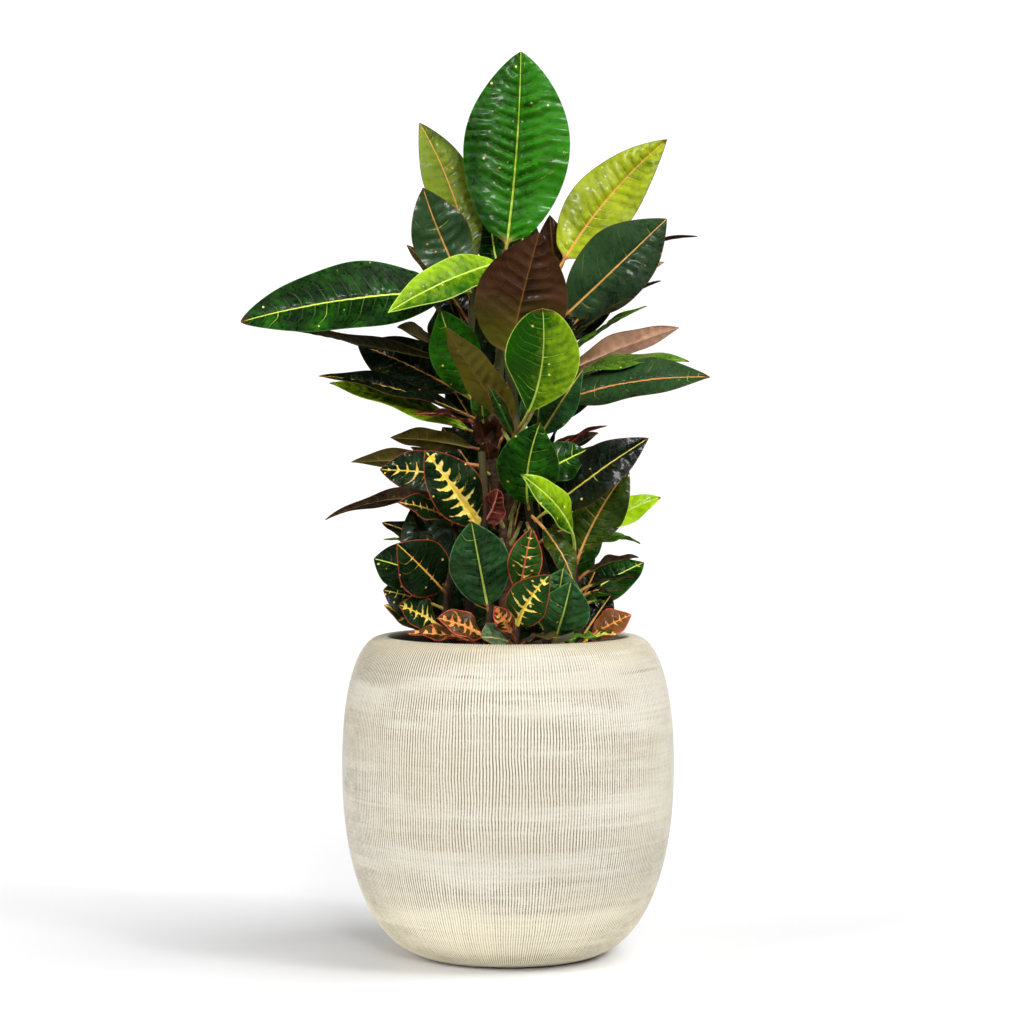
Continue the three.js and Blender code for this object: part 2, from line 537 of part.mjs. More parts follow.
// A leaf of a stem's own green is fused to it. One of another colour is a piece of its own, which
// is seated on the stem with a small gap.
const GREENS = ["deep", "dark", "green"];
const isOwnPiece = (leaf) => leaf.name && !leaf.fused && !GREENS.includes(leaf.look);
const leaves = [...LEAVES, ...fillLeaves()].map((leaf, i) => ({
  ...LEAF_DEFAULTS,
  phase: fraction(i * WAVE_SHIFT),
  ...leaf,
}));

const swollen = new Map(STEMS.map((stem) => [stem.name, stemSolid(stem, SEAT_GAP)]));
for (const stem of STEMS) {
  const fused = leaves.filter((leaf) => leaf.stem === stem.name && !isOwnPiece(leaf));
  let solid = wasm.Manifold.union([stemSolid(stem), ...fused.map(leafSolid)]);
  if (stem.from) solid = largestBody(solid.subtract(swollen.get(stem.from)));
  addPiece(stem.name, stem.look, solid);
}
for (const leaf of leaves.filter(isOwnPiece)) {
  const cut = leafSolid(leaf).subtract(swollen.get(leaf.stem));
  addPiece(`leaf_${leaf.name}`, leaf.look, largestBody(cut));
}

addPiece("planter", "ceramic", toSolid(planterGeometry()));
const standing = STEMS.filter((stem) => !stem.from);
const holes = wasm.Manifold.union(standing.map((stem) => swollen.get(stem.name)));
addPiece("soil", "soil", toSolid(soilGeometry()).subtract(holes));

export default croton;
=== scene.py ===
# %% [markdown]
# # A potted croton in a ribbed planter
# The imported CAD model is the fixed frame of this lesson. Its planter, soil, stems and leaves stand
# where they should and are plain and faceted. Here each one is made again in fine detail: the
# planter's combed glaze, the crumbly soil, bark with leaf scars, and more than a hundred quilted
# leaves with their veins and colours. Sizes are the CAD source's, in millimetres, and are turned
# into Blender's metres where a mesh is made.

import math

import bpy
import numpy as np
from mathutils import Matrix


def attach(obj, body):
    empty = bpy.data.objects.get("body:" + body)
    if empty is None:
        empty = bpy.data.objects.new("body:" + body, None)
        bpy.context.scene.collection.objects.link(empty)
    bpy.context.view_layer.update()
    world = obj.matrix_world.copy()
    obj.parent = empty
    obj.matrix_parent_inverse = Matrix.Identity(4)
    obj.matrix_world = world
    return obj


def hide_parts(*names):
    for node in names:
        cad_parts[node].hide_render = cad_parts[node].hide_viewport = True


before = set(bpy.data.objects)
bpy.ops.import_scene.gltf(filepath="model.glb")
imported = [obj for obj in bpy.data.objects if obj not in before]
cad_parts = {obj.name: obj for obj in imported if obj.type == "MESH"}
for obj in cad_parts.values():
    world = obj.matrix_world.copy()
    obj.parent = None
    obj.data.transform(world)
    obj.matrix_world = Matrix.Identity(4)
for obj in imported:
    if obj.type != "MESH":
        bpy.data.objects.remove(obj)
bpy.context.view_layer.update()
scene = bpy.context.scene
MM = 0.001

# %% [markdown]
# ## The camera
# The photograph was taken from three metres away with a long lens, a little above the planter's
# rim, and tilted down by a degree and a half. A long lens keeps the planter's sides nearly parallel.

# %% Camera
CAMERA_PLACE = (0.0043, -3.0, 0.560)
CAMERA_TILT_DOWN = math.radians(1.53)
CAMERA_LENS = 97.3

camera_data = bpy.data.cameras.new("camera")
camera_data.lens = CAMERA_LENS
camera_data.sensor_width = 36
camera = bpy.data.objects.new("camera", camera_data)
camera.location = CAMERA_PLACE
camera.rotation_euler = (math.pi / 2 - CAMERA_TILT_DOWN, 0, 0)
scene.collection.objects.link(camera)
scene.camera = camera
print("camera: lens", CAMERA_LENS, "mm")

# %% [markdown]
# ## Node trees written as formulas
# A material or a Geometry Nodes tree is easier to read as a formula than as a web of wires. `Wire`
# stands for one socket, and arithmetic on it adds the Math nodes.

# %% The wire
class Wire:
    """One output socket. Arithmetic on it adds Math nodes to its sheet."""

    def __init__(self, sheet, socket):
        self.sheet, self.socket = sheet, socket

    def math(self, operation, *values):
        return self.sheet.node("ShaderNodeMath", {"operation": operation}, values)

    def __add__(self, other):
        return self.math("ADD", self, other)

    def __sub__(self, other):
        return self.math("SUBTRACT", self, other)

    def __rsub__(self, other):
        return self.math("SUBTRACT", other, self)

    def __mul__(self, other):
        return self.math("MULTIPLY", self, other)

    def __truediv__(self, other):
        return self.math("DIVIDE", self, other)

    def __pow__(self, other):
        return self.math("POWER", self, other)

    __radd__, __rmul__ = __add__, __mul__

    def size(self):
        return self.math("ABSOLUTE", self)

    def whole(self):
        """The nearest whole number."""
        return self.math("ROUND", self)

    def least(self, other):
        return self.math("MINIMUM", self, other)

    def most(self, other):
        return self.math("MAXIMUM", self, other)

    def ramp(self, start, end):
        """0 at start and 1 at end, or the other way round where start is the larger."""
        values = {"Value": self, "From Min": start, "From Max": end}
        return self.sheet.node("ShaderNodeMapRange", {"interpolation_type": "SMOOTHSTEP"}, values)


print("wire ready")

# %% [markdown]
# `Sheet` is the tree that the wires are drawn on. Its method `node` adds any kind of node, and the
# others are short words for the nodes that most finishes use.

# %% The sheet
class Sheet:
    """A node tree that is being drawn."""

    def __init__(self, tree):
        self.tree = tree

    def node(self, kind, settings=None, values=(), out=0):
        """Adds a node: its settings first, then its sockets by name or in order. `out` picks the output."""
        made = self.tree.nodes.new(kind)
        for name, value in (settings or {}).items():
            setattr(made, name, value)
        for key, value in values.items() if isinstance(values, dict) else enumerate(values):
            if isinstance(value, Wire):
                self.tree.links.new(value.socket, made.inputs[key])
            else:
                made.inputs[key].default_value = value
        picked = [Wire(self, made.outputs[name]) for name in (out if isinstance(out, tuple) else (out,))]
        return tuple(picked) if isinstance(out, tuple) else picked[0]

    def chance(self, number):
        """A random share between 0 and 1 for each number, the same in every run."""
        settings = {"noise_dimensions": "1D"}
        return self.node("ShaderNodeTexWhiteNoise", settings, {"W": number}, out="Value")

    def blend(self, share, first, second):
        """A colour between two others, each a wire, a colour or a code for `paint`."""
        first, second = (paint(colour) if isinstance(colour, str) else colour for colour in (first, second))
        settings = {"data_type": "RGBA", "clamp_factor": True}
        return self.node("ShaderNodeMix", settings, {0: share, 6: first, 7: second}, out=2)

    def attribute(self, name):
        return self.node("ShaderNodeAttribute", {"attribute_name": name}, out="Fac")

    def place(self, stretch=(1, 1, 1)):
        """Object coordinates, stretched along the axes."""
        point = self.node("ShaderNodeTexCoord", out="Object")
        return self.node("ShaderNodeVectorMath", {"operation": "MULTIPLY"}, {0: point, 1: stretch})

    def noise(self, scale, detail=2.0, stretch=(1, 1, 1), roughness=0.5):
        values = {"Vector": self.place(stretch), "Scale": scale, "Detail": detail, "Roughness": roughness}
        return self.node("ShaderNodeTexNoise", values=values, out="Fac")

    def bump(self, height, distance, strength=1.0):
        values = {"Height": height, "Distance": distance, "Strength": strength}
        return self.node("ShaderNodeBump", values=values, out="Normal")


print("sheet ready")

# %% [markdown]
# Colours are written as codes, as on a painter's chart, and a material is a function that draws its
# surface on a sheet. So each finish reads as a short recipe.

# %% Paint and materials
def paint(code):
    """The linear colour of a code such as #1f5c25."""
    parts = [int(code[i : i + 2], 16) / 255 for i in (1, 3, 5)]
    return (*[x / 12.92 if x < 0.04045 else ((x + 0.055) / 1.055) ** 2.4 for x in parts], 1.0)


def material(name, draw, **constants):
    """A material whose surface `draw(sheet)` describes as a dict of Principled sockets."""
    made = bpy.data.materials.new(name)
    made.use_nodes = True
    sheet = Sheet(made.node_tree)
    surface = made.node_tree.nodes["Principled BSDF"]
    for key, value in {**constants, **draw(sheet)}.items():
        if isinstance(value, Wire):
            sheet.tree.links.new(value.socket, surface.inputs[key])
        else:
            surface.inputs[key].default_value = value
    return made


print("a leaf green in linear light:", [round(part, 3) for part in paint("#1f5c25")[:3]])

# %% [markdown]
# ## The studio
# A product photograph like this one has a white floor that melts into a white background. A bare
# white dome that only the camera sees gives the background, so that it adds no glare to the dark
# leaves. Only the near floor, a metre around the planter, throws soft light back up on it.

# %% Floor and backdrop
FLOOR_RADIUS, NEAR_RADIUS = 9.0, 1.0
FLOOR_DROP = 0.0003
DISC_SIDES, DOME_STEPS = 96, 24


def circle(radius, height, sides):
    turns = [2 * math.pi * i / sides for i in range(sides)]
    return [(radius * math.cos(turn), radius * math.sin(turn), height) for turn in turns]


def stage_piece(name, points, faces, look):
    mesh = bpy.data.meshes.new(name)
    mesh.from_pydata(points, [], faces)
    mesh.materials.append(look)
    piece = bpy.data.objects.new(name, mesh)
    scene.collection.objects.link(piece)
    return piece


def floor_paint(sheet):
    """A nearly even white with a faint grain."""
    colour = sheet.blend(0.04 * sheet.noise(30.0), "#d3d3d4", "#c2c1c0")
    return {"Base Color": colour, "Roughness": 0.6}


def backdrop_glow(_sheet):
    """Plain light, a little past white."""
    return {"Base Color": (0, 0, 0, 1), "Emission Color": (1, 1, 1, 1), "Emission Strength": 1.1}


def dome_faces():
    """Quads between each level ring of the dome and the next one up."""
    faces = []
    for low in range(0, (DOME_STEPS - 1) * DOME_STEPS, DOME_STEPS):
        high = low + DOME_STEPS
        for j in range(DOME_STEPS):
            after = (j + 1) % DOME_STEPS
            faces.append((low + j, high + j, high + after, low + after))
    return faces


white = material("studio_white", floor_paint)
disc_face = [list(range(DISC_SIDES))]
floor = stage_piece("studio_floor", circle(FLOOR_RADIUS, -FLOOR_DROP, DISC_SIDES), disc_face, white)
near_floor = stage_piece("studio_near_floor", circle(NEAR_RADIUS, 0.0, DISC_SIDES), disc_face, white)
floor.visible_diffuse = floor.visible_glossy = near_floor.visible_glossy = False
dome_points = [point for rise in np.linspace(-0.05, math.pi / 2 - 0.01, DOME_STEPS)
               for point in circle(FLOOR_RADIUS * math.cos(rise), FLOOR_RADIUS * math.sin(rise), DOME_STEPS)]
dome = stage_piece("studio_dome", dome_points, dome_faces(), material("studio_glow", backdrop_glow))
for unseen_by in ("visible_diffuse", "visible_glossy", "visible_transmission", "visible_shadow"):
    setattr(dome, unseen_by, False)
print("white floor and backdrop ready")

# %% [markdown]
# Four broad suns stand for the softboxes. Glossy rays don't see them, because a broad light lays a
# grey veil over each leaf that faces up. Three narrow suns are the strip lamps, which draw the
# glints. Suns light the whole floor evenly, which keeps it white to the horizon. The strongest one
# stands at the right, so that a soft shadow falls to the left of the planter. A faint sky, brighter
# upwards, keeps the shade from going black.

# %% Lamps and world
# Each row is a lamp's strength, its width in degrees, its azimuth and its elevation. Azimuth 0 shines
# from the camera's side, and a positive one from its right.
SOFTBOXES = {
    "softbox_right": (3.1, 50, 76, 53), "softbox_front": (1.0, 30, 15, 34),
    "softbox_left": (2.5, 36, -74, 12), "softbox_back": (1.1, 50, 160, 24),
}
STRIP_LAMPS = {
    "strip_front": (1.0, 9, 10, 24), "strip_left": (0.7, 8, -50, 35), "strip_right": (0.7, 8, 60, 42),
}
for name, (strength, width, azimuth, elevation) in {**SOFTBOXES, **STRIP_LAMPS}.items():
    lamp = bpy.data.lights.new(name, "SUN")
    lamp.energy, lamp.angle = strength, math.radians(width)
    sun = bpy.data.objects.new(name, lamp)
    sun.rotation_euler = (math.radians(90 - elevation), 0, math.radians(azimuth))
    sun.visible_glossy = name in STRIP_LAMPS
    scene.collection.objects.link(sun)

world = bpy.data.worlds.new("studio")
world.use_nodes = True
sky = Sheet(world.node_tree)
ray = sky.node("ShaderNodeTexCoord", out="Generated")
height = sky.node("ShaderNodeSeparateXYZ", values=[ray], out="Z")
background = world.node_tree.nodes["Background"]
background.inputs["Color"].default_value = (1.0, 1.0, 1.0, 1)
sky.tree.links.new((0.07 + 0.2 * height.ramp(0.0, 0.8)).socket, background.inputs["Strength"])
scene.world = world
world.cycles_visibility.glossy = False
scene.view_settings.view_transform = "Standard"
print("suns:", len(SOFTBOXES) + len(STRIP_LAMPS))

# %% [markdown]
# ## Growing meshes with Geometry Nodes
# Ribs, granules, scars and stems repeat or follow a path, which is what Geometry Nodes are for.
# A tree gets named inputs. `grown` puts it on a starting mesh or curve, gives it its values, reads
# the evaluated result as a plain mesh, and throws the maker away.

# %% Trees and grown meshes
SOCKETS = {float: "NodeSocketFloat", int: "NodeSocketInt", None: "NodeSocketMaterial"}


def tree_of(name, inputs):
    """An empty Geometry Nodes tree with named inputs: its sheet and the wires of its inputs."""
    tree = bpy.data.node_groups.new(name, "GeometryNodeTree")
    tree.interface.new_socket("Start", in_out="INPUT", socket_type="NodeSocketGeometry")
    for label, kind in inputs.items():
        tree.interface.new_socket(label, in_out="INPUT", socket_type=SOCKETS[kind])
    tree.interface.new_socket("Result", in_out="OUTPUT", socket_type="NodeSocketGeometry")
    sheet = Sheet(tree)
    wires = sheet.node("NodeGroupInput", out=("Start", *inputs))
    return sheet, dict(zip(("Start", *inputs), wires))


def finish_tree(sheet, geometry, look):
    """The tree's last nodes: real mesh, smooth shading, one material."""
    real = sheet.node("GeometryNodeRealizeInstances", values={"Geometry": geometry})
    smooth = sheet.node("GeometryNodeSetShadeSmooth", values={"Geometry": real})
    done = sheet.node("GeometryNodeSetMaterial", values={"Geometry": smooth, "Material": look})
    ending = sheet.tree.nodes.new("NodeGroupOutput")
    sheet.tree.links.new(done.socket, ending.inputs[0])


def grown(sheet, start, values):
    """The mesh that a tree makes from a starting mesh or curve."""
    maker = bpy.data.objects.new("maker", start)
    scene.collection.objects.link(maker)
    modifier = maker.modifiers.new("grow", "NODES")
    modifier.node_group = sheet.tree
    for item in sheet.tree.interface.items_tree:
        if item.in_out == "INPUT" and item.name in values:
            modifier[item.identifier] = values[item.name]
    seen = maker.evaluated_get(bpy.context.evaluated_depsgraph_get())
    mesh = bpy.data.meshes.new_from_object(seen)
    bpy.data.objects.remove(maker)
    return mesh


triangle_counts = {}


def show(name, mesh, slot, *nodes):
    """Puts a finished mesh in the scene, in place of its CAD nodes."""
    mesh.name = name
    piece = bpy.data.objects.new(name, mesh)
    scene.collection.objects.link(piece)
    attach(piece, "root")
    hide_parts(*nodes)
    triangle_counts[name] = sum(len(face.vertices) - 2 for face in mesh.polygons)
    return piece


print("tree helpers ready")

# %% [markdown]
# ## The planter
# It is a thrown stoneware pot, 360 mm across and 346 mm tall, whose side follows a rounded
# superellipse. A comb has been drawn down the wet clay, and the pale glaze has run off the ridges
# into some of the furrows. The furrows are real geometry here: a profile is turned round the axis
# in four steps to each furrow, and each step is pushed into the wall by a cosine.

# %% The planter's profile
PLANTER_RADIUS, PLANTER_HEIGHT, BELLY_HEIGHT = 180.0, 346.0, 206.0
FOOT_RADIUS, LIP_RADIUS, CURVE_POWER, WALL = 78.0, 135.0, 2.25, 12.0
SOIL_LEVEL, SOIL_UNEVENNESS, SEAT_GAP = 322.0, 3.0, 0.3
FURROWS, FURROW_DEPTH, STEPS_PER_FURROW = 342, 0.45, 4
FURROW_FADE_HEIGHT = 14.0
WANDER, WANDER_SCALE = 9.0, 22.0
LIP_ROLL = 4.4
LIP_FURROWS = {62: 0.9, 86: 0.8, 110: 0.7, 135: 0.5, 160: 0.3, 185: 0.0}
FOOT_RISE = 1.5
SIDE_ROWS = 42
INNER_SHARES = (0.955, 0.93, 0.86, 0.6, 0.22, 0.05)


def side_radius(z, inset=0.0):
    lower = z < BELLY_HEIGHT
    edge = FOOT_RADIUS if lower else LIP_RADIUS
    reach = BELLY_HEIGHT if lower else PLANTER_HEIGHT - BELLY_HEIGHT
    drop = abs(z - BELLY_HEIGHT) / reach
    return edge + (PLANTER_RADIUS - edge) * max(0.0, 1 - drop**CURVE_POWER) ** (1 / CURVE_POWER) - inset


def turned_profile():
    """Rows of radius, height, furrow strength and inside mark, from under the foot to the inner floor."""
    rows = [(0, FOOT_RISE, 0, 0), (FOOT_RADIUS - 9, FOOT_RISE, 0, 0)]
    rows += [(FOOT_RADIUS - 5, 0, 0, 0), (FOOT_RADIUS - 1, 0, 0, 0)]
    for share in 0.5 - 0.5 * np.cos(np.pi * (0.028 + 0.957 * np.linspace(0, 1, SIDE_ROWS))):
        z = share * PLANTER_HEIGHT
        rows.append((side_radius(z), z, min(1.0, z / FURROW_FADE_HEIGHT), 0))
    for degrees, strength in LIP_FURROWS.items():
        angle = math.radians(degrees)
        across = LIP_RADIUS - LIP_ROLL / 2 + LIP_ROLL * math.cos(angle)
        rows.append((across, PLANTER_HEIGHT - LIP_ROLL + LIP_ROLL * math.sin(angle), strength, 0.5))
    for z in np.array(INNER_SHARES) * PLANTER_HEIGHT:
        rows.append((side_radius(z, WALL), z, 0, 1))
    return rows + [(FOOT_RADIUS - WALL, WALL, 0, 1), (0, WALL, 0, 1)]


def profile_mesh(name, rows):
    """The profile as bare points that carry the furrow strength and the inside mark."""
    mesh = bpy.data.meshes.new(name)
    edges = [(i, i + 1) for i in range(len(rows) - 1)]
    mesh.from_pydata([(r * MM, 0, z * MM) for r, z, _, _ in rows], edges, [])
    for label, column in (("furrow", 2), ("inside", 3)):
        marks = mesh.attributes.new(label, "FLOAT", "POINT").data
        marks.foreach_set("value", [float(row[column]) for row in rows])
    return mesh


planter_rows = turned_profile()
print("planter profile:", len(planter_rows), "rows")

# %% [markdown]
# The tree lays out a grid whose columns go round and whose rows follow the profile. Each grid
# point looks up its profile point by row, is set at its own angle, and is pushed in along the
# normal by a cosine that dips once for each furrow. The same tree turns the soil with no furrows.

# %% The turning tree
DOUBLES = 1e-6


def position(sheet, out):
    return sheet.node("ShaderNodeSeparateXYZ", values=[sheet.node("GeometryNodeInputPosition")], out=out)


def mark(sheet, label):
    return sheet.node("GeometryNodeInputNamedAttribute", {"data_type": "FLOAT"}, {"Name": label}, "Attribute")


def pushed_out(sheet, geometry, distance):
    """Moves each point along its normal."""
    values = {"Vector": sheet.node("GeometryNodeInputNormal"), "Scale": distance}
    offset = sheet.node("ShaderNodeVectorMath", {"operation": "SCALE"}, values)
    return sheet.node("GeometryNodeSetPosition", values={"Geometry": geometry, "Offset": offset})


def turned_grid(sheet, given):
    """The profile turned round the axis: a grid whose rows are the profile's points."""
    start, point_field = given["Start"], {"data_type": "FLOAT", "domain": "POINT"}
    values = {"Geometry": start}
    rows = sheet.node("GeometryNodeAttributeDomainSize", {"component": "MESH"}, values, "Point Count")
    sizes = {"Size X": 1.0, "Size Y": 1.0, "Vertices X": given["Columns"] + 1.0, "Vertices Y": rows}
    made = sheet.node("GeometryNodeMeshGrid", values=sizes, out="Mesh")
    x, y = position(sheet, ("X", "Y"))
    place = (y + 0.5) * (rows - 1.0) + 0.5
    row = place.math("FLOOR", place)
    turn = (x + 0.5) * (2 * math.pi)

    def looked_up(field, **settings):
        values = {"Geometry": start, "Value": field, "Index": row}
        return sheet.node("GeometryNodeSampleIndex", {**point_field, **settings}, values, "Value")

    point = looked_up(sheet.node("GeometryNodeInputPosition"), data_type="FLOAT_VECTOR")
    radius, height = sheet.node("ShaderNodeSeparateXYZ", values=[point], out=("X", "Z"))
    spun = [radius * turn.math("COSINE", turn), radius * turn.math("SINE", turn), height]
    for label in ("furrow", "inside"):
        values = {"Geometry": made, "Name": label, "Value": looked_up(mark(sheet, label))}
        made = sheet.node("GeometryNodeStoreNamedAttribute", point_field, values)
    values = {"Geometry": made, "Position": sheet.node("ShaderNodeCombineXYZ", values=spun)}
    made = sheet.node("GeometryNodeSetPosition", values=values)
    return sheet.node("GeometryNodeMergeByDistance", values={"Geometry": made, "Distance": DOUBLES})


def turning_tree():
    sheet, given = tree_of("turned_form", {"Columns": int, "Furrows": float, "Depth": float, "Look": None})
    made = turned_grid(sheet, given)
    x, y = position(sheet, ("X", "Y"))
    values = {"Vector": sheet.node("GeometryNodeInputPosition"), "Scale": WANDER_SCALE, "Detail": 2.0}
    wander = sheet.node("ShaderNodeTexNoise", values=values, out="Fac") * WANDER
    angle = y.math("ARCTAN2", y, x) * given["Furrows"] + wander
    dip = (0.5 - 0.5 * angle.math("COSINE", angle)) * mark(sheet, "furrow") * given["Depth"] * -1.0
    finish_tree(sheet, pushed_out(sheet, made, dip), given["Look"])
    return sheet


TURNING = turning_tree()
print("turning tree:", len(TURNING.tree.nodes), "nodes")

# %% [markdown]
# The glaze is a pale cream on the ridges and a thin olive beige in the furrows. Soft level bands
# run round the pot where the glaze filled the furrows, the foot is a warmer cream that is also
# painted lighter, a painted light against the shade under the belly, and fine brush lines circle
# it. The ridges of the shoulder are painted a shade darker against the light from above. The
# furrow mask repeats the tree's cosine, so that the colour sits in the real furrows.

# %% Glaze
SEAM_HEIGHT = 314.0


def glaze(sheet):
    x, y, tall = sheet.node("ShaderNodeSeparateXYZ", values=[sheet.place()], out=("X", "Y", "Z"))
    height = tall * 1000.0
    turn = y.math("ARCTAN2", y, x) * float(FURROWS) + sheet.noise(WANDER_SCALE) * WANDER
    furrow = (0.5 - 0.5 * turn.math("COSINE", turn)) * sheet.attribute("furrow")
    number = (turn / (2 * math.pi) - 0.5).whole()
    bands = sheet.noise(3.0, 4.0, (1.0, 1.0, 8.0), 0.55)
    cloud = sheet.noise(9.0, 4.0, (1.0, 1.0, 2.2))
    fine = sheet.noise(620.0, 2.0)
    brush = sheet.noise(5.0, 4.0, (1.0, 1.0, 70.0), 0.65)
    foot = (height + 60.0 * (bands - 0.5)).ramp(120.0, 8.0)
    open_furrow = 0.42 + 0.55 * bands.ramp(0.4, 0.58) + 0.4 * (cloud - 0.5) + 0.9 * (brush - 0.5)
    seam = (height - SEAM_HEIGHT - 8.0 * (cloud - 0.5)).size().ramp(2.2, 0.6) * cloud.ramp(0.45, 0.6)
    shoulder = height.ramp(262.0, 325.0) * bands.ramp(0.42, 0.56)
    open_furrow = open_furrow + 0.15 * foot + 0.9 * seam + 0.4 * shoulder
    depth = furrow.ramp(0.35, 0.95) * open_furrow * (0.85 + 0.3 * sheet.chance(number)) * (0.2 + 1.6 * fine)
    ridge = sheet.blend(cloud.ramp(0.35, 0.7), "#c8c3b6", "#d4cfc4")
    ridge = sheet.blend(brush.ramp(0.5, 0.75) * 0.4, ridge, "#c2b8a3")
    ridge = sheet.blend(fine.ramp(0.52, 0.76) * 0.55, ridge, "#b2a890")
    # Painted shade: the ridges of the shoulder are darker, against the light from above.
    ridge = sheet.blend(height.ramp(250.0, 335.0) * 0.5, ridge, "#b2ac9c")
    # The foot's warmer cream is partly its own colour and partly painted light against the shade under the
    # belly.
    ridge = sheet.blend(foot * 0.8, ridge, "#f2e8cc")
    bare = sheet.blend(cloud.ramp(0.3, 0.7), "#857a58", "#685d3e")
    colour = sheet.blend(depth, ridge, bare)
    rim = height.ramp(322.0, 340.0)
    colour = sheet.blend(rim * brush.ramp(0.42, 0.6) * 0.6, colour, "#b0a282")
    colour = sheet.blend(sheet.attribute("inside").ramp(0.6, 1.0) * 0.6, colour, "#a39474")
    grain = sheet.noise(900.0, 2.0)
    return {
        "Base Color": colour,
        "Roughness": 0.36 + 0.3 * depth + 0.14 * (fine - 0.5),
        "Normal": sheet.bump(grain * 0.4 + brush * 0.6, 0.0006, 0.5),
    }


glaze_look = material("combed_glaze", glaze, **{"Specular IOR Level": 0.6})
planter_values = {"Columns": STEPS_PER_FURROW * FURROWS, "Furrows": float(FURROWS),
                  "Depth": FURROW_DEPTH * MM, "Look": glaze_look}
planter_mesh = grown(TURNING, profile_mesh("planter_profile", planter_rows), planter_values)
show("ribbed_planter", planter_mesh, "planter_ceramic", "planter")
print("planter:", triangle_counts["ribbed_planter"], "triangles")

# %% [markdown]
# ## The soil
# Potting soil is dark, damp and crumbly. The bed is turned like the planter and gently uneven, as
# its solid is. Granules are scattered over its top by a second tree: a low-poly crumb, turned and
# sized at random from a fixed seed, a few of them pale bits of pumice.

# %% Soil bed
SOIL_DOMING, SOIL_RINGS = 3.0, 24
SOIL_SHARES, EDGE_SHARE = (0.05, 0.22, 0.6, 0.8), 0.93


def soil_rows():
    inset = WALL + 2 * SEAT_GAP
    rows = [(0, WALL + SEAT_GAP, 0, 0), (FOOT_RADIUS - inset, WALL + SEAT_GAP, 0, 0)]
    rows += [(side_radius(s * PLANTER_HEIGHT, inset), s * PLANTER_HEIGHT, 0, 0) for s in SOIL_SHARES]
    edge = side_radius(EDGE_SHARE * PLANTER_HEIGHT, inset)
    rows.append((edge, SOIL_LEVEL - SOIL_DOMING, 0, 0))
    for radius in np.linspace(edge - 4, 0, SOIL_RINGS):
        rows.append((radius, SOIL_LEVEL + SOIL_DOMING * (1 - radius / edge), 0, 0))
    return rows


def crumb_noise(x, y):
    """A fixed rolling noise: a few sines that never line up."""
    return sum(math.sin(a * x + b * y + c) for a, b, c in
               ((0.11, 0.07, 0.4), (-0.08, 0.13, 2.1), (0.29, -0.21, 5.2), (0.23, 0.31, 1.2))) / 4


def roll_soil(mesh):
    for vertex in mesh.vertices:
        x, y, z = (c / MM for c in vertex.co)
        if z > SOIL_LEVEL - 1 and math.hypot(x, y) > 1:
            lift = SOIL_UNEVENNESS * math.sin(0.05 * x + 1) * math.cos(0.06 * y) + 0.9 * crumb_noise(x, y)
            vertex.co.z += lift * MM
    return mesh


def soil_colour(sheet):
    lumps, fine = sheet.noise(90.0, 4.0), sheet.noise(700.0, 3.0)
    tone = sheet.attribute("crumb_tone")
    colour = sheet.blend(lumps.ramp(0.35, 0.65), "#1d1410", "#3a2a1f")
    colour = sheet.blend(fine.ramp(0.5, 0.75) * 0.6, colour, "#54402e")
    colour = sheet.blend(tone.ramp(0.5, 0.9) * 0.7, colour, "#6a5038")
    colour = sheet.blend(tone.ramp(0.965, 0.975), colour, "#c9c2b2")
    return {"Base Color": colour, "Roughness": 0.8 + 0.2 * fine, "Normal": sheet.bump(fine + lumps, 0.0015)}


SOIL_LOOK = material("damp_soil", soil_colour, **{"Specular IOR Level": 0.3})
soil_values = {"Columns": 120, "Furrows": 0.0, "Depth": 0.0, "Look": SOIL_LOOK}
soil_mesh = roll_soil(grown(TURNING, profile_mesh("soil_profile", soil_rows()), soil_values))
soil = show("soil_bed", soil_mesh, "soil", "soil")
print("soil bed:", triangle_counts["soil_bed"], "triangles")

# %% Soil crumbs
def crumb_tree():
    inputs = {"Density": float, "Smallest": float, "Largest": float, "Seed": int, "Look": None}
    sheet, given = tree_of("soil_crumbs", inputs)
    z = position(sheet, "Z")
    high = z.math("GREATER_THAN", z, (SOIL_LEVEL - 2 * SOIL_DOMING) * MM)
    spread = {"Mesh": given["Start"], "Selection": high, "Density": given["Density"], "Seed": given["Seed"]}
    points = sheet.node("GeometryNodeDistributePointsOnFaces", values=spread, out="Points")
    crumb = sheet.node("GeometryNodeMeshIcoSphere", values={"Radius": 1.0, "Subdivisions": 1}, out="Mesh")

    def chance(kind, low, high, seed):
        """A random value. Its sockets share names across types, so they go by place."""
        places = {"FLOAT_VECTOR": (0, 1, 0), "FLOAT": (2, 3, 1)}[kind]
        values = {places[0]: low, places[1]: high, "Seed": given["Seed"] + seed}
        return sheet.node("FunctionNodeRandomValue", {"data_type": kind}, values, places[2])

    turn = chance("FLOAT_VECTOR", (0, 0, 0), (6.3, 6.3, 6.3), 1.0)
    size = chance("FLOAT", given["Smallest"], given["Largest"], 2.0)
    shape = chance("FLOAT_VECTOR", (0.6, 0.6, 0.4), (1.3, 1.0, 0.9), 3.0)
    scale = sheet.node("ShaderNodeVectorMath", {"operation": "SCALE"}, {"Vector": shape, "Scale": size})
    values = {"Points": points, "Instance": crumb, "Rotation": turn, "Scale": scale}
    crumbs = sheet.node("GeometryNodeInstanceOnPoints", values=values)
    values = {"Geometry": crumbs, "Name": "crumb_tone", "Value": chance("FLOAT", 0.0, 1.0, 4.0)}
    settings = {"data_type": "FLOAT", "domain": "INSTANCE"}
    toned = sheet.node("GeometryNodeStoreNamedAttribute", settings, values)
    finish_tree(sheet, toned, given["Look"])
    return sheet


crumb_values = {"Density": 36000.0, "Smallest": 0.8 * MM, "Largest": 3.2 * MM, "Seed": 7, "Look": SOIL_LOOK}
show("soil_crumbs", grown(crumb_tree(), soil.data.copy(), crumb_values), "soil", "soil")
print("soil crumbs:", triangle_counts["soil_crumbs"], "triangles")

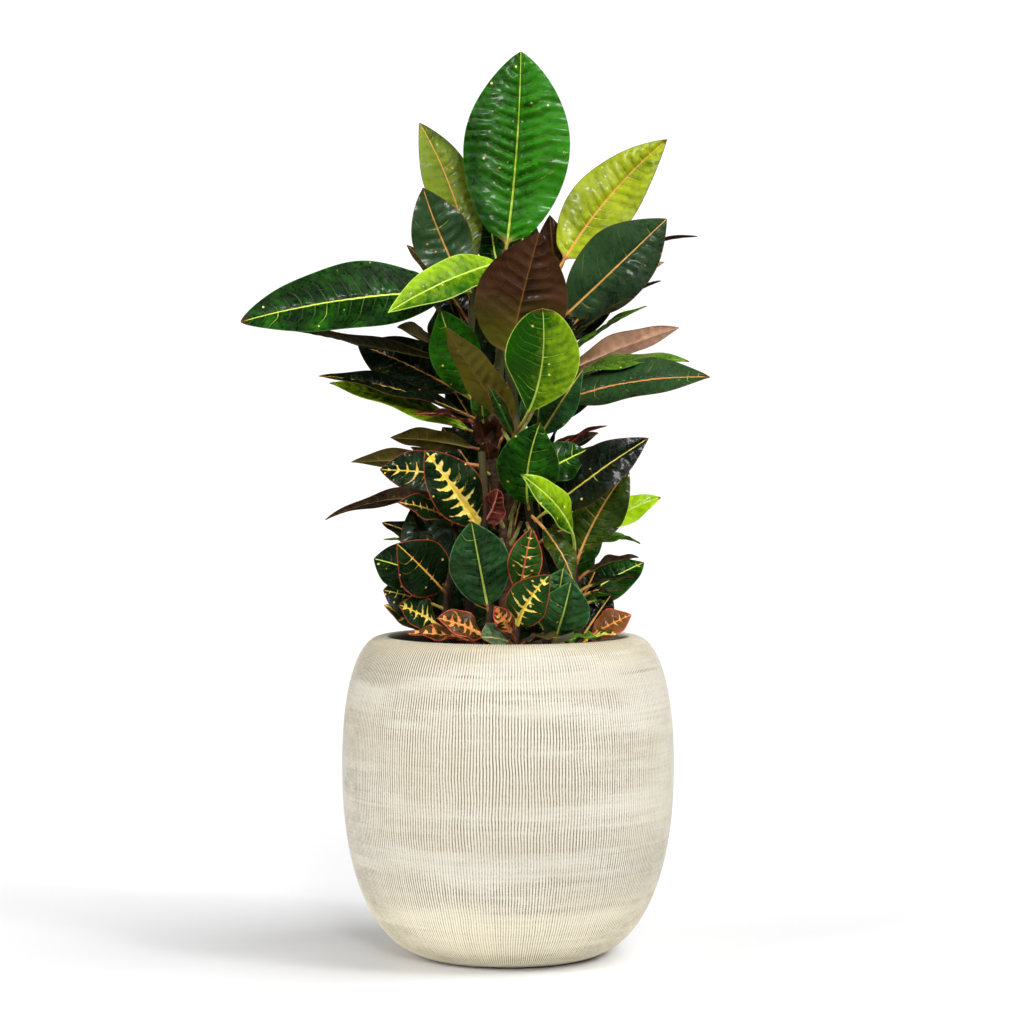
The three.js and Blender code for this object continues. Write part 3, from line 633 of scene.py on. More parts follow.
# %% [markdown]
# ## The stems
# Ten stems stand in the soil, and four shoots spring from the old trunk. The rows are the CAD
# source's own, so each stem follows the same smooth curve through the same points, thinner
# towards its top.

# %% Stem rows and their curves
CURVE_STEPS = 12


def stem_row(name, skin, thick, thin, *points):
    return dict(name=name, skin=skin, thick=thick, thin=thin, points=points)


STEMS = [
    stem_row("trunk", "bark", 11, 7, (0, 5, 290), (0, 4, 428), (-5, 2, 493), (-20, 0, 535), (-18, 2, 570),
             (-10, 6, 625)),
    stem_row("crown", "deep", 6, 4, (-12, 5, 612), (-6, 14, 680), (-5, 20, 765)),
    stem_row("left_shoot", "dark", 6, 3.5, (-19, 1, 548), (-34, 8, 590), (-41, 14, 650), (-37, 15, 725)),
    stem_row("right_shoot", "dark", 7, 3.5, (-3, 3, 480), (25, 10, 540), (42, 18, 600), (50, 22, 680),
             (52, 25, 745)),
    stem_row("front_shoot", "green", 6, 4, (-8, 0, 500), (8, -34, 545), (6, -42, 600), (-2, -40, 660),
             (-6, -36, 708)),
    stem_row("low_left", "dark", 7, 4, (-42, -10, 290), (-42, -15, 380), (-32, -24, 440), (-25, -28, 480),
             (-28, -26, 545)),
    stem_row("low_right", "deep", 7, 4, (42, 0, 290), (44, -10, 380), (33, -22, 440), (23, -28, 480),
             (22, -28, 530)),
    stem_row("base_left", "dark", 6, 3.5, (-72, -12, 290), (-68, -20, 360), (-60, -22, 430),
             (-56, -18, 470)),
    stem_row("base_right", "dark", 6, 3.5, (80, -12, 290), (76, -18, 360), (71, -18, 430), (80, -14, 495)),
    stem_row("front_a", "deep", 5, 3.5, (-26, -72, 290), (-22, -76, 350), (-18, -76, 385)),
    stem_row("front_b", "green", 5, 3.5, (5, -78, 290), (8, -80, 350), (12, -78, 405)),
    stem_row("front_c", "deep", 5, 3.5, (48, -70, 290), (46, -74, 350), (42, -70, 415)),
    stem_row("back_low", "dark", 7, 4, (-20, 52, 290), (-18, 56, 380), (-12, 52, 470), (-14, 46, 545)),
    stem_row("back_right", "deep", 6, 4, (40, 50, 290), (46, 58, 370), (42, 60, 450), (36, 54, 500)),
]
STEM = {stem["name"]: stem for stem in STEMS}


def stem_line(stem):
    """Points on the smooth curve through the stem's points, in millimetres."""
    points = np.array(stem["points"], float)
    padded = np.vstack([2 * points[0] - points[1], points, 2 * points[-1] - points[-2]])
    line = []
    for place in np.linspace(0, len(points) - 1, CURVE_STEPS * (len(points) - 1) + 1):
        span = min(int(place), len(points) - 2)
        w = place - span
        before, a, b, after = padded[span : span + 4]
        leave, arrive = 0.5 * (b - before), 0.5 * (after - a)
        bend = -3 * a + 3 * b - 2 * leave - arrive
        line.append(a + leave * w + bend * w**2 + (2 * a - 2 * b + leave + arrive) * w**3)
    return np.array(line)


def at_height(stem, height):
    """The point of a stem's middle line at a height."""
    line = stem_line(stem)
    above = int(np.argmax(line[:, 2] >= height))
    low, high = line[above - 1], line[above]
    return low + (high - low) * (height - low[2]) / (high[2] - low[2])


print("stems:", len(STEMS))

# %% [markdown]
# A croton's stem is ringed with the scars of fallen leaves, one a golden angle further round than
# the last. The tree sweeps a circle along the curve, roughens it, and sets a small raised scar at
# even steps.

# %% The stem tree
GOLDEN_TURN = math.radians(137.5)
STEM_ROW_LENGTH, LUMP_SCALE = 3, 95.0
SCAR_PLACE, SCAR_SIZE = (0.9, 0, 0), (0.2, 0.62, 0.3)


def stem_tree():
    inputs = {"Thick": float, "Thin": float, "Sides": int, "Rough": float, "Scar Step": float, "Look": None}
    sheet, given = tree_of("stem_with_scars", inputs)
    values = {"Curve": given["Start"], "Length": STEM_ROW_LENGTH * MM}
    fine = sheet.node("GeometryNodeResampleCurve", {"mode": "LENGTH"}, values)
    along = sheet.node("GeometryNodeSplineParameter", out="Factor")
    radius = given["Thick"] + (given["Thin"] - given["Thick"]) * along
    sized = sheet.node("GeometryNodeSetCurveRadius", values={"Curve": fine, "Radius": radius})
    values = {"Resolution": given["Sides"], "Radius": 1.0}
    ring = sheet.node("GeometryNodeCurvePrimitiveCircle", values=values, out="Curve")
    size = sheet.node("GeometryNodeInputRadius")
    values = {"Curve": sized, "Profile Curve": ring, "Scale": size, "Fill Caps": True}
    tube = sheet.node("GeometryNodeCurveToMesh", values=values)
    values = {"Vector": sheet.node("GeometryNodeInputPosition"), "Scale": LUMP_SCALE, "Detail": 4.0}
    lump = sheet.node("ShaderNodeTexNoise", values=values, out="Fac")
    tube = pushed_out(sheet, tube, (lump - 0.5) * given["Rough"])
    values = {"Curve": sized, "Length": given["Scar Step"]}
    spots, aim = sheet.node("GeometryNodeCurveToPoints", {"mode": "LENGTH"}, values, ("Points", "Rotation"))
    values = {"Segments": 12, "Rings": 7, "Radius": 1.0}
    bead = sheet.node("GeometryNodeMeshUVSphere", values=values, out="Mesh")
    values = {"Geometry": bead, "Translation": SCAR_PLACE, "Scale": SCAR_SIZE}
    scar = sheet.node("GeometryNodeTransform", values=values)
    turn = sheet.node("GeometryNodeInputIndex") * GOLDEN_TURN
    values = {"Rotation": aim, "Rotate By": sheet.node("ShaderNodeCombineXYZ", values={"Z": turn})}
    aim = sheet.node("FunctionNodeRotateRotation", {"rotation_space": "LOCAL"}, values)
    values = {"Points": spots, "Instance": scar, "Rotation": aim, "Scale": size}
    scars = sheet.node("GeometryNodeInstanceOnPoints", values=values)
    both = sheet.tree.nodes.new("GeometryNodeJoinGeometry")
    for part in (tube, scars):
        sheet.tree.links.new(part.socket, both.inputs[0])
    finish_tree(sheet, Wire(sheet, both.outputs[0]), given["Look"])
    return sheet


STEM_TREE = stem_tree()
print("stem tree:", len(STEM_TREE.tree.nodes), "nodes")

# %% [markdown]
# The trunk is old wood: grey-brown cork with dark cracks and paler rings. The young stems keep a
# green rind that browns towards the soil. Both finishes are noise stretched along the stem, which
# never shows where it repeats, as a picture of bark would.

# %% Bark and rind
def cork(sheet):
    streak = sheet.noise(60.0, 5.0, (1.0, 1.0, 0.35), 0.6)
    ring = sheet.noise(70.0, 3.0, (0.3, 0.3, 2.2))
    fine = sheet.noise(600.0, 3.0)
    colour = sheet.blend(streak.ramp(0.35, 0.65), "#1e130c", "#6c4e36")
    colour = sheet.blend(ring.ramp(0.52, 0.7) * 0.3, colour, "#8e6e50")
    colour = sheet.blend(fine.ramp(0.55, 0.8) * 0.5, colour, "#231812")
    bump = sheet.bump(streak + fine * 0.5, 0.004)
    return {"Base Color": colour, "Roughness": 0.75 + 0.2 * fine, "Normal": bump}


def young_rind(sheet):
    streak, fine = sheet.noise(60.0, 4.0, (1.0, 1.0, 0.3)), sheet.noise(500.0, 2.0)
    height = sheet.node("ShaderNodeSeparateXYZ", values=[sheet.place()], out="Z")
    colour = sheet.blend(streak.ramp(0.35, 0.65), "#2c3416", "#4c4a22")
    colour = sheet.blend(height.ramp(0.6, 0.44), colour, "#2e2016")
    colour = sheet.blend(fine.ramp(0.6, 0.7) * 0.3, colour, "#7c6844")
    bump = sheet.bump(streak + fine * 0.4, 0.0008)
    return {"Base Color": colour, "Roughness": 0.5 + 0.2 * streak, "Normal": bump}


CORK, RIND = material("cork_bark", cork), material("young_rind", young_rind)
print("bark and rind ready")

# %% [markdown]
# A stem's middle line becomes a curve of straight spans, short enough to look smooth, and the tree
# grows on it. Old wood is rougher than young wood and has more sides, and its scars lie further
# apart.

# %% One stem
def stem_curve(stem):
    curve = bpy.data.curves.new(stem["name"], "CURVE")
    curve.dimensions = "3D"
    line = stem_line(stem) * MM
    spline = curve.splines.new("POLY")
    spline.points.add(len(line) - 1)
    spline.points.foreach_set("co", np.hstack([line, np.ones((len(line), 1))]).ravel())
    return curve


OLD_WOOD = {"Sides": 28, "Rough": 6.5 * MM, "Scar Step": 13 * MM, "Look": CORK}
YOUNG_WOOD = {"Sides": 18, "Rough": 1.2 * MM, "Scar Step": 11 * MM, "Look": RIND}


def show_stem(stem):
    wood = OLD_WOOD if stem["skin"] == "bark" else YOUNG_WOOD
    values = {**wood, "Thick": stem["thick"] * MM, "Thin": stem["thin"] * MM}
    show(stem["name"] + "_stem", grown(STEM_TREE, stem_curve(stem), values), "bark", stem["name"])


print("wood:", OLD_WOOD["Look"].name, "and", YOUNG_WOOD["Look"].name)

# %% [markdown]
# Stubs and leaves are both rings of points along a bent line. A curve object could be bevelled for
# them, but a leaf's ring changes its form from row to row, so the rings are counted out in numpy:
# `arc` gives the bent line and its direction, and `tube_faces` joins the rings and closes the ends.

# %% Bent lines and tubes
SHARP = math.radians(50)


def unit(vectors):
    return vectors / np.linalg.norm(vectors, axis=-1, keepdims=True)


def arc(t, root, middle, tip):
    """Places on a quadratic curve, and its direction there."""
    place = (1 - t) ** 2 * root + 2 * t * (1 - t) * middle + t**2 * tip
    return place, unit((1 - t) * (middle - root) + t * (tip - middle))


def tube_faces(rows, sides):
    """Quads between rings of points that follow each other, and a cap at each end."""
    ring, j = np.arange(rows - 1)[:, None] * sides, np.arange(sides)[None, :]
    after = (j + 1) % sides
    quads = np.stack([ring + j, ring + after, ring + sides + after, ring + sides + j], axis=-1)
    last = (rows - 1) * sides
    return quads.reshape(-1, 4).tolist() + [list(range(sides))[::-1], list(range(last, last + sides))]


print("a tube of 3 rings with 10 sides:", len(tube_faces(3, 10)), "faces")

# %% [markdown]
# Where old leaves broke off, their stalks are left as short pale stubs. A stub is a bent, tapered
# twig, swept along a quadratic curve and closed with a flat broken end.

# %% Stubs of old stalks
STUB_SIDES, STUB_STEPS = 10, 7
STUB_LEAN, STUB_SAG = 3.0, 0.15
STUB_FLARE, STUB_TAPER = 1.25, 0.35


def stub_row(stem, at, tip, radius):
    return dict(stem=stem, at=at, tip=tip, radius=radius)


STUBS = [
    stub_row("trunk", 432, (-7, -26, 452), 1.9),
    stub_row("trunk", 440, (14, -20, 470), 2.1),
    stub_row("trunk", 448, (5, -24, 482), 1.7),
    stub_row("trunk", 458, (-14, -18, 486), 2.0),
    stub_row("trunk", 466, (9, -16, 492), 2.2),
    stub_row("trunk", 520, (-34, -12, 530), 2.0),
    stub_row("low_right", 448, (20, -40, 470), 1.8),
    stub_row("low_right", 436, (18, -34, 462), 2.0),
    stub_row("front_shoot", 556, (20, -50, 580), 2.2),
    stub_row("front_shoot", 562, (28, -40, 592), 2.0),
    stub_row("front_shoot", 550, (-6, -54, 570), 1.9),
]


def stub_rind(sheet):
    fine, spot = sheet.noise(500.0, 2.0), sheet.noise(120.0, 3.0)
    colour = sheet.blend(spot.ramp(0.35, 0.65), "#8f9442", "#c2b873")
    colour = sheet.blend(sheet.attribute("reach").ramp(0.75, 1.0) * 0.8, colour, "#5a3f28")
    return {"Base Color": colour, "Roughness": 0.5 + 0.2 * fine, "Normal": sheet.bump(fine, 0.0005)}


def stub_mesh(name, rows):
    points, faces = [], []
    for row in rows:
        root, tip = at_height(STEM[row["stem"]], row["at"]), np.array(row["tip"], float)
        middle = (root + tip) / 2 + np.array([0, -STUB_LEAN, -STUB_SAG * np.linalg.norm(tip - root)])
        shift = len(points)
        for t in np.linspace(0, 1, STUB_STEPS):
            centre, along = arc(t, root, middle, tip)
            side = unit(np.cross(along, (0, 1, 0)))
            turn = np.linspace(0, 2 * math.pi, STUB_SIDES, endpoint=False)[:, None]
            ring = np.cos(turn) * side + np.sin(turn) * np.cross(side, along)
            points += list((centre + row["radius"] * (STUB_FLARE - STUB_TAPER * t) * ring) * MM)
        faces += [[i + shift for i in face] for face in tube_faces(STUB_STEPS, STUB_SIDES)]
    mesh = bpy.data.meshes.new(name)
    mesh.from_pydata(points, [], faces)
    reach = np.tile(np.repeat(np.linspace(0, 1, STUB_STEPS), STUB_SIDES), len(rows))
    mesh.attributes.new("reach", "FLOAT", "POINT").data.foreach_set("value", reach.astype(np.float32))
    mesh.materials.append(STUB_RIND)
    mesh.shade_smooth()
    mesh.set_sharp_from_angle(angle=SHARP)
    return mesh


STUB_RIND = material("stub_rind", stub_rind)
for stem_name in ("trunk", "low_right", "front_shoot"):
    rows = [row for row in STUBS if row["stem"] == stem_name]
    show(stem_name + "_stubs", stub_mesh(stem_name + "_stubs", rows), "bark", stem_name)
print("stubs:", len(STUBS))

# %% [markdown]
# Now each stem takes the place of its own CAD node.

# %% Stems
for stem in STEMS:
    show_stem(stem)
print("stems:", sum(count for name, count in triangle_counts.items() if name.endswith("_stem")), "triangles")

# %% [markdown]
# ## Where the leaves are
# Each row is one leaf of the CAD source: its name, the stem and height that it springs from, the
# place of its tip, its width, its skin and the side that its face looks to. Some also say how they
# bow and sweep, how long their stalk is, where they are widest and how round they are at each end.

# %% Leaf rows
def leaf_row(name, stem, at, tip, width, skin, face, **form):
    """A leaf whose root is on its stem at the height `at`, and whose upper side looks towards `face`."""
    return dict(name=name, stem=stem, at=at, tip=tip, width=width, skin=skin, face=face, **form)


LEAVES = [
    leaf_row("crown_tall", "crown", 745, (14, 30, 981), 118, "deep", (0, -1, 0.15), bow=-4, sweep=4,
             wide=0.5, base=0.6, end=0.75, stalk=24),
    leaf_row("crown_left_olive", "left_shoot", 722, (-98, 75, 909), 58, "olive", (0.2, -1, 0.2), bow=-4,
             sweep=12, wide=0.55),
    leaf_row("crown_left_dark", "left_shoot", 708, (-92, 8, 831), 66, "dark", (0.1, -1, 0.2), bow=-5,
             sweep=-3),
    leaf_row("crown_right_brown", "right_shoot", 722, (46, 64, 806), 34, "bronze", (0, 1, 0.4), fused=True),
    leaf_row("lime_fold", "crown", 752, (-126, -88, 692), 48, "lime", (0.3, -0.7, 0.6), bow=12, wide=0.45,
             stalk=6),
    leaf_row("bronze_back", "front_shoot", 640, (33, -82, 776), 100, "bronze", (0, 1, 0.2), bow=-6, sweep=2,
             stalk=8, base=0.6, wide=0.45),
    leaf_row("left_big", "left_shoot", 718, (-285, -45, 684), 86, "deep", (0.05, -0.85, 0.5), bow=18,
             stalk=30, wide=0.45, end=0.7),
    leaf_row("left_under", "left_shoot", 640, (-266, 25, 685), 52, "dark", (0, 0.2, 1), bow=0),
    leaf_row("left_sliver", "left_shoot", 682, (-112, 70, 774), 24, "brown", (0, -0.5, 1), fused=True),
    leaf_row("left_broad", "left_shoot", 600, (-166, 62, 664), 76, "dark", (0.2, -0.8, 0.6), bow=6),
    leaf_row("left_long", "left_shoot", 578, (-202, -35, 627), 50, "dark", (0, -0.45, 1), bow=10),
    leaf_row("lime_left", "left_shoot", 560, (-193, -5, 620), 50, "lime", (0, -0.5, 1), bow=6),
    leaf_row("glossy_left", "left_shoot", 588, (-72, -42, 697), 58, "dark", (0.1, -1, 0.3), bow=-6),
    leaf_row("bronze_center", "front_shoot", 572, (-65, -88, 677), 54, "bronze", (0.6, 0.8, 0.4), bow=-4,
             wide=0.42, stalk=8),
    leaf_row("lime_center", "front_shoot", 566, (36, -125, 694), 80, "lime", (0, -1, 0.3), bow=8, sweep=13,
             stalk=30, wide=0.6, end=0.45),
    leaf_row("right_top", "right_shoot", 738, (175, 60, 889), 73, "yellow", (0, -1, 0.2), bow=-6, sweep=-10,
             wide=0.42),
    leaf_row("right_dark", "right_shoot", 682, (170, -25, 795), 84, "dark", (0.1, -0.9, 0.4), bow=6,
             sweep=2, base=0.7),
    leaf_row("right_sliver", "right_shoot", 700, (210, 85, 785), 32, "brown", (0, 0.1, 1), bow=20),
    leaf_row("right_pink", "right_shoot", 688, (174, 100, 757), 30, "pink", (0, 0.8, 0.6), fused=True),
    leaf_row("right_narrow", "right_shoot", 664, (166, 20, 732), 32, "dark", (0, 0.1, 1)),
    leaf_row("right_band", "right_shoot", 645, (131, -50, 709), 26, "dark", (0, -0.4, 1)),
    leaf_row("right_bright", "right_shoot", 634, (150, 5, 704), 28, "green", (0, -0.2, 1)),
    leaf_row("right_pink2", "right_shoot", 624, (187, 30, 681), 36, "pink", (0, 0.8, 0.7)),
    leaf_row("right_wavy", "right_shoot", 612, (195, -18, 643), 48, "green", (0, -0.35, 1), bow=14),
    leaf_row("right_long", "right_shoot", 592, (214, -62, 625), 60, "dark", (0, -0.75, 0.65), bow=15),
    leaf_row("right_blue", "right_shoot", 552, (79, -55, 632), 40, "dark", (0, -1, 0.3)),
    leaf_row("right_purple", "low_right", 528, (106, -15, 574), 26, "purple", (0, -0.1, 1)),
    leaf_row("right_tan", "low_right", 516, (98, 15, 566), 28, "brown", (0, 0.8, 0.8)),
    leaf_row("center_small", "left_shoot", 566, (-30, -52, 625), 24, "green", (0, -1, 0.2)),
    leaf_row("center_strip", "front_shoot", 556, (-22, -80, 618), 16, "red_veined", (0, -1, 0.2), stalk=10),
    leaf_row("center_round", "low_right", 480, (34, -85, 576), 68, "deep", (0, -1, 0.25), stalk=10,
             sweep=-7),
    leaf_row("center_round2", "low_right", 512, (83, -45, 547), 46, "deep", (0, -1, 0.4)),
    leaf_row("right_low", "low_right", 468, (148, -80, 560), 58, "dark", (0.1, -0.8, 0.5)),
    leaf_row("lime_small", "base_right", 434, (14, -100, 522), 38, "lime", (0.2, -0.8, 0.5), bow=20,
             stalk=36, wide=0.5),
    leaf_row("right_olive", "base_right", 418, (130, -19, 527), 56, "olive", (0, -0.9, 0.3), sweep=-5),
    leaf_row("right_hang", "low_right", 478, (70, -66, 408), 32, "olive", (0.5, -0.8, 0.1), bow=10,
             stalk=24),
    leaf_row("right_lime", "base_right", 446, (165, -12, 496), 34, "lime", (0, -0.8, 0.5), sweep=-3),
    leaf_row("brown_small", "low_right", 446, (64, -30, 464), 20, "brown", (0, -1, 0.3)),
    leaf_row("hero_left", "low_left", 460, (-88, -68, 547), 60, "yellow_veined", (0.1, -1, 0.3), stalk=6),
    leaf_row("red_fold", "low_left", 467, (-10, -60, 506), 30, "purple", (0.5, 0.7, 0.2), stalk=3,
             wide=0.32, base=0.5),
    leaf_row("left_curl", "trunk", 545, (-126, -40, 561), 30, "olive", (0, 0.8, 0.6)),
    leaf_row("left_red", "left_shoot", 572, (-100, -50, 586), 20, "purple", (0, -0.4, 0.9), fused=True),
    leaf_row("left_var", "low_left", 515, (-139, 2, 526), 50, "yellow_veined", (0, -1, 0.35)),
    leaf_row("left_olive", "low_left", 530, (-173, 60, 534), 32, "olive", (0, 0.8, 0.7)),
    leaf_row("left_brown", "low_left", 484, (-194, -66, 474), 27, "brown", (0, 0.6, 0.8), bow=22),
    leaf_row("left_fall", "base_left", 468, (-116, -66, 492), 32, "yellow_veined", (0, -0.8, 0.6)),
    leaf_row("dark_a", "base_left", 396, (-102, -20, 488), 60, "dark", (0, -1, 0.3)),
    leaf_row("dark_b", "base_left", 410, (-60, 2, 500), 54, "dark", (0, -1, 0.3), bow=-8),
    leaf_row("left_light", "base_left", 432, (-136, 20, 450), 22, "green", (0, -0.2, 1)),
    leaf_row("left_round", "base_left", 402, (-145, -15, 430), 62, "deep", (0, -0.9, 0.5)),
    leaf_row("left_big_var", "base_left", 390, (-117, -75, 448), 64, "yellow_veined", (0, -1, 0.35),
             stalk=12),
    leaf_row("left_low_dark", "base_left", 375, (-134, -32, 397), 50, "dark", (0, -1, 0.4)),
    leaf_row("left_low_var", "base_left", 352, (-116, -62, 383), 40, "yellow_veined", (0, -0.9, 0.5)),
    leaf_row("left_low_yel", "base_left", 340, (-133, -30, 381), 22, "yellow_veined", (0, -0.9, 0.5)),
    leaf_row("front_dark", "front_a", 372, (-38, -118, 473), 66, "deep", (0, -1, 0.2), stalk=10, bow=-4,
             base=0.62),
    leaf_row("front_orange", "front_a", 346, (-74, -108, 372), 37, "orange", (0.2, -0.8, 0.7), stalk=8),
    leaf_row("front_rim", "front_a", 338, (-106, -72, 353), 34, "orange", (0, -0.35, 1)),
    leaf_row("front_fold", "front_b", 345, (-14, -116, 385), 22, "orange", (0, -1, 0.3)),
    leaf_row("front_cross", "front_b", 338, (-28, -124, 353), 40, "grey", (0, -0.8, 0.6)),
    leaf_row("front_flat", "front_b", 336, (54, -122, 352), 26, "brown", (0, -0.3, 1)),
    leaf_row("front_red", "front_b", 392, (25, -105, 466), 37, "red_veined", (0, -1, 0.2), stalk=6),
    leaf_row("front_yel", "front_b", 356, (43, -148, 419), 46, "yellow_veined", (0, -1, 0.25), sweep=-4,
             stalk=8),
    leaf_row("front_rib1", "front_c", 348, (58, -100, 423), 52, "deep", (0, -1, 0.25)),
    leaf_row("front_rib2", "front_c", 338, (66, -122, 411), 56, "deep", (0.2, -1, 0.25)),
    leaf_row("front_drape", "front_c", 332, (92, -100, 352), 24, "green", (0, -0.3, 1)),
    leaf_row("right_base", "base_right", 336, (133, -25, 370), 34, "orange", (0, -0.8, 0.6)),
    leaf_row("right_base_pale", "base_right", 334, (116, -72, 352), 18, "yellow_veined", (0, -0.7, 0.7)),
    leaf_row("fan_a", "base_right", 430, (145, 30, 445), 30, "green", (0, -0.2, 1), bow=14),
    leaf_row("fan_b", "base_right", 404, (141, -15, 432), 28, "brown", (0, 0.3, 1), bow=8),
    leaf_row("fan_c", "base_right", 392, (138, 10, 409), 26, "dark", (0, -0.1, 1)),
    leaf_row("fan_d", "base_right", 384, (122, -40, 398), 26, "dark", (0, -0.2, 1)),
    leaf_row("fan_e", "base_right", 372, (104, -5, 382), 24, "green", (0, -0.1, 1)),
    leaf_row("inner_a", "back_low", 352, (-84, 34, 432), 66, "dark", (0, -1, 0.3)),
    leaf_row("inner_b", "back_low", 366, (-30, 30, 470), 64, "dark", (0, -1, 0.3)),
    leaf_row("inner_c", "back_low", 420, (-86, 36, 512), 60, "dark", (0, -1, 0.3)),
    leaf_row("inner_d", "back_low", 440, (-24, 28, 548), 62, "dark", (0, -1, 0.3)),
    leaf_row("inner_e", "back_low", 486, (-72, 36, 572), 54, "dark", (0, -1, 0.3)),
    leaf_row("inner_f", "back_right", 350, (22, 29, 473), 60, "dark", (0, -1, 0.3)),
    leaf_row("inner_g", "back_right", 380, (84, 42, 462), 60, "deep", (0, -1, 0.3)),
    leaf_row("inner_h", "back_right", 430, (26, 40, 528), 60, "dark", (0, -1, 0.3)),
    leaf_row("inner_i", "back_right", 462, (70, 36, 552), 58, "deep", (0, -1, 0.3)),
    leaf_row("inner_j", "back_low", 338, (-94, 44, 412), 58, "dark", (0, -1, 0.3)),
    leaf_row("inner_k", "back_right", 338, (-50, 26, 384), 58, "dark", (0, -1, 0.3)),
    leaf_row("inner_l", "left_shoot", 592, (4, 40, 682), 56, "dark", (0, -1, 0.2)),
    leaf_row("inner_m", "right_shoot", 560, (98, 66, 650), 52, "dark", (0, -1, 0.2)),
    leaf_row("inner_o", "left_shoot", 620, (-44, 52, 716), 44, "dark", (0, -1, 0.2)),
    leaf_row("inner_n", "back_low", 538, (12, 52, 622), 46, "dark", (0, -1, 0.2)),
]
print("leaves set by hand:", len(LEAVES))

# %% [markdown]
# Smaller leaves fill the plant behind. They follow the CAD source's rule: up each stem they turn by
# the golden share of a fan, rise more steeply, get shorter, and roll to the left and right in turn.

# %% Filling leaves
# Stem, count, lowest and highest root, the fan's direction and spread in degrees, shortest, longest.
FILLS = [
    ("crown", 4, 655, 735, 86, 36, 140, 175),
    ("left_shoot", 4, 600, 675, 130, 60, 120, 165),
    ("right_shoot", 4, 550, 700, 62, 50, 130, 170),
    ("back_low", 8, 350, 540, 125, 120, 110, 165),
    ("back_right", 8, 345, 495, 50, 110, 100, 150),
    ("base_left", 2, 370, 450, 140, 70, 70, 90),
    ("base_right", 2, 360, 430, 66, 50, 58, 70),
]
LEAF_DEFAULTS = dict(bow=6, sweep=0, stalk=18, wide=0.5, base=0.8, end=0.85)
GOLDEN = 0.618034
FILL_RISE, FILL_ROLL, FILL_WIDTH, FILL_BOW = (24, 60), 35, 0.38, 0.07
WAVE_SHIFT = 0.37
OWN_GREENS = ("deep", "dark", "green")


def mix(a, b, t):
    return a + (b - a) * t


def fill_leaves():
    made = []
    for stem_name, count, lowest, highest, toward, spread, shortest, longest in FILLS:
        stem = STEM[stem_name]
        for i in range(count):
            t = (i + 0.5) / count
            at, length = mix(lowest, highest, t), mix(longest, shortest, t)
            azimuth = math.radians(toward + ((len(made) * GOLDEN) % 1 - 0.5) * spread)
            rise = math.radians(mix(*FILL_RISE, t))
            roll = math.radians(FILL_ROLL if len(made) % 2 else -FILL_ROLL)
            east, north = math.cos(azimuth), math.sin(azimuth)
            reach = np.array([east * math.cos(rise), north * math.cos(rise), math.sin(rise)])
            face = (-north * math.sin(roll), east * math.sin(roll), math.cos(roll))
            tip = at_height(stem, at) + reach * length
            made.append(leaf_row("", stem_name, at, tip, FILL_WIDTH * length, stem["skin"], face,
                                 bow=FILL_BOW * length))
    return made


leaves = [
    {**LEAF_DEFAULTS, "phase": (i * WAVE_SHIFT) % 1, "luck": (i * GOLDEN * 7) % 1, **leaf}
    for i, leaf in enumerate([*LEAVES, *fill_leaves()])
]
print("leaves:", len(leaves))

# %% [markdown]
# ## The form of a leaf
# A croton's leaf is a leathery blade on a round stalk. It folds a little along the midrib, its
# margins wave, and between the side veins it puffs up like a quilt. The blade could be a flat plane
# with a bump map, but the quilting shows in every highlight, so it is real relief here. The rows
# of points follow the midrib, a quadratic curve, and each row is a closed ring over both faces.
# Points also carry what the skin needs: how far across and along they are, the local half width,
# the count of side veins passed, and which face they belong to.

# %% The midrib and the outline
STALK_RADIUS, STALK_ROWS, BLADE_THICKNESS = 1.9, 7, 0.8
VEIN_SPACING, FEWEST_VEINS, MOST_VEINS, ROWS_PER_VEIN = 13, 7, 17, 6
FOLD, CURL, EDGE_WAVE, WAVES = math.radians(10), 0.05, 2.5, 2
COLUMNS, LONGEST_STALK = 19, 0.6


def smooth(x, start, end):
    t = np.clip((x - start) / (end - start), 0, 1)
    return t * t * (3 - 2 * t)


def leaf_frame(leaf):
    """The root on the stem, the midrib's control point, the tip, the upper side's direction, the length."""
    root, tip = at_height(STEM[leaf["stem"]], leaf["at"]), np.array(leaf["tip"], float)
    length = float(np.linalg.norm(tip - root))
    chord = (tip - root) / length
    up = np.array(leaf["face"], float)
    up = unit(up - chord * up.dot(chord))
    side = np.cross(chord, up)
    middle = (root + tip) / 2 + 2 * leaf["bow"] * up + 2 * leaf["sweep"] * side
    return root, middle, tip, up, length


def half_width(leaf, v):
    """Half the blade's width at the share `v` of its length, and the stalk's radius before it."""
    skew = math.log(0.5) / math.log(leaf["wide"])
    power = mix(leaf["base"], leaf["end"], v)
    blade = np.maximum(leaf["width"] / 2 * np.sin(np.pi * v**skew).clip(0) ** power, 0.01 * leaf["width"])
    return np.maximum(blade, STALK_RADIUS * 0.9 * smooth(v, 0.3, 0.0))


print("leaf outline ready")

# %% [markdown]
# The relief adds up gentle shapes: the fold along the midrib, the waves of the margin, a quilt that
# puffs up between the side veins, each cell of it by its own chance, and a slow cockle. On the lower
# side the round midrib and fine side ribs stand out.

# %% The relief
RIB_DEPTH, SIDE_RIB_DEPTH, GROOVE_DEPTH = 1.9, 0.25, 0.35
PUFF, PUFF_BY_WIDTH = 0.8, 0.02


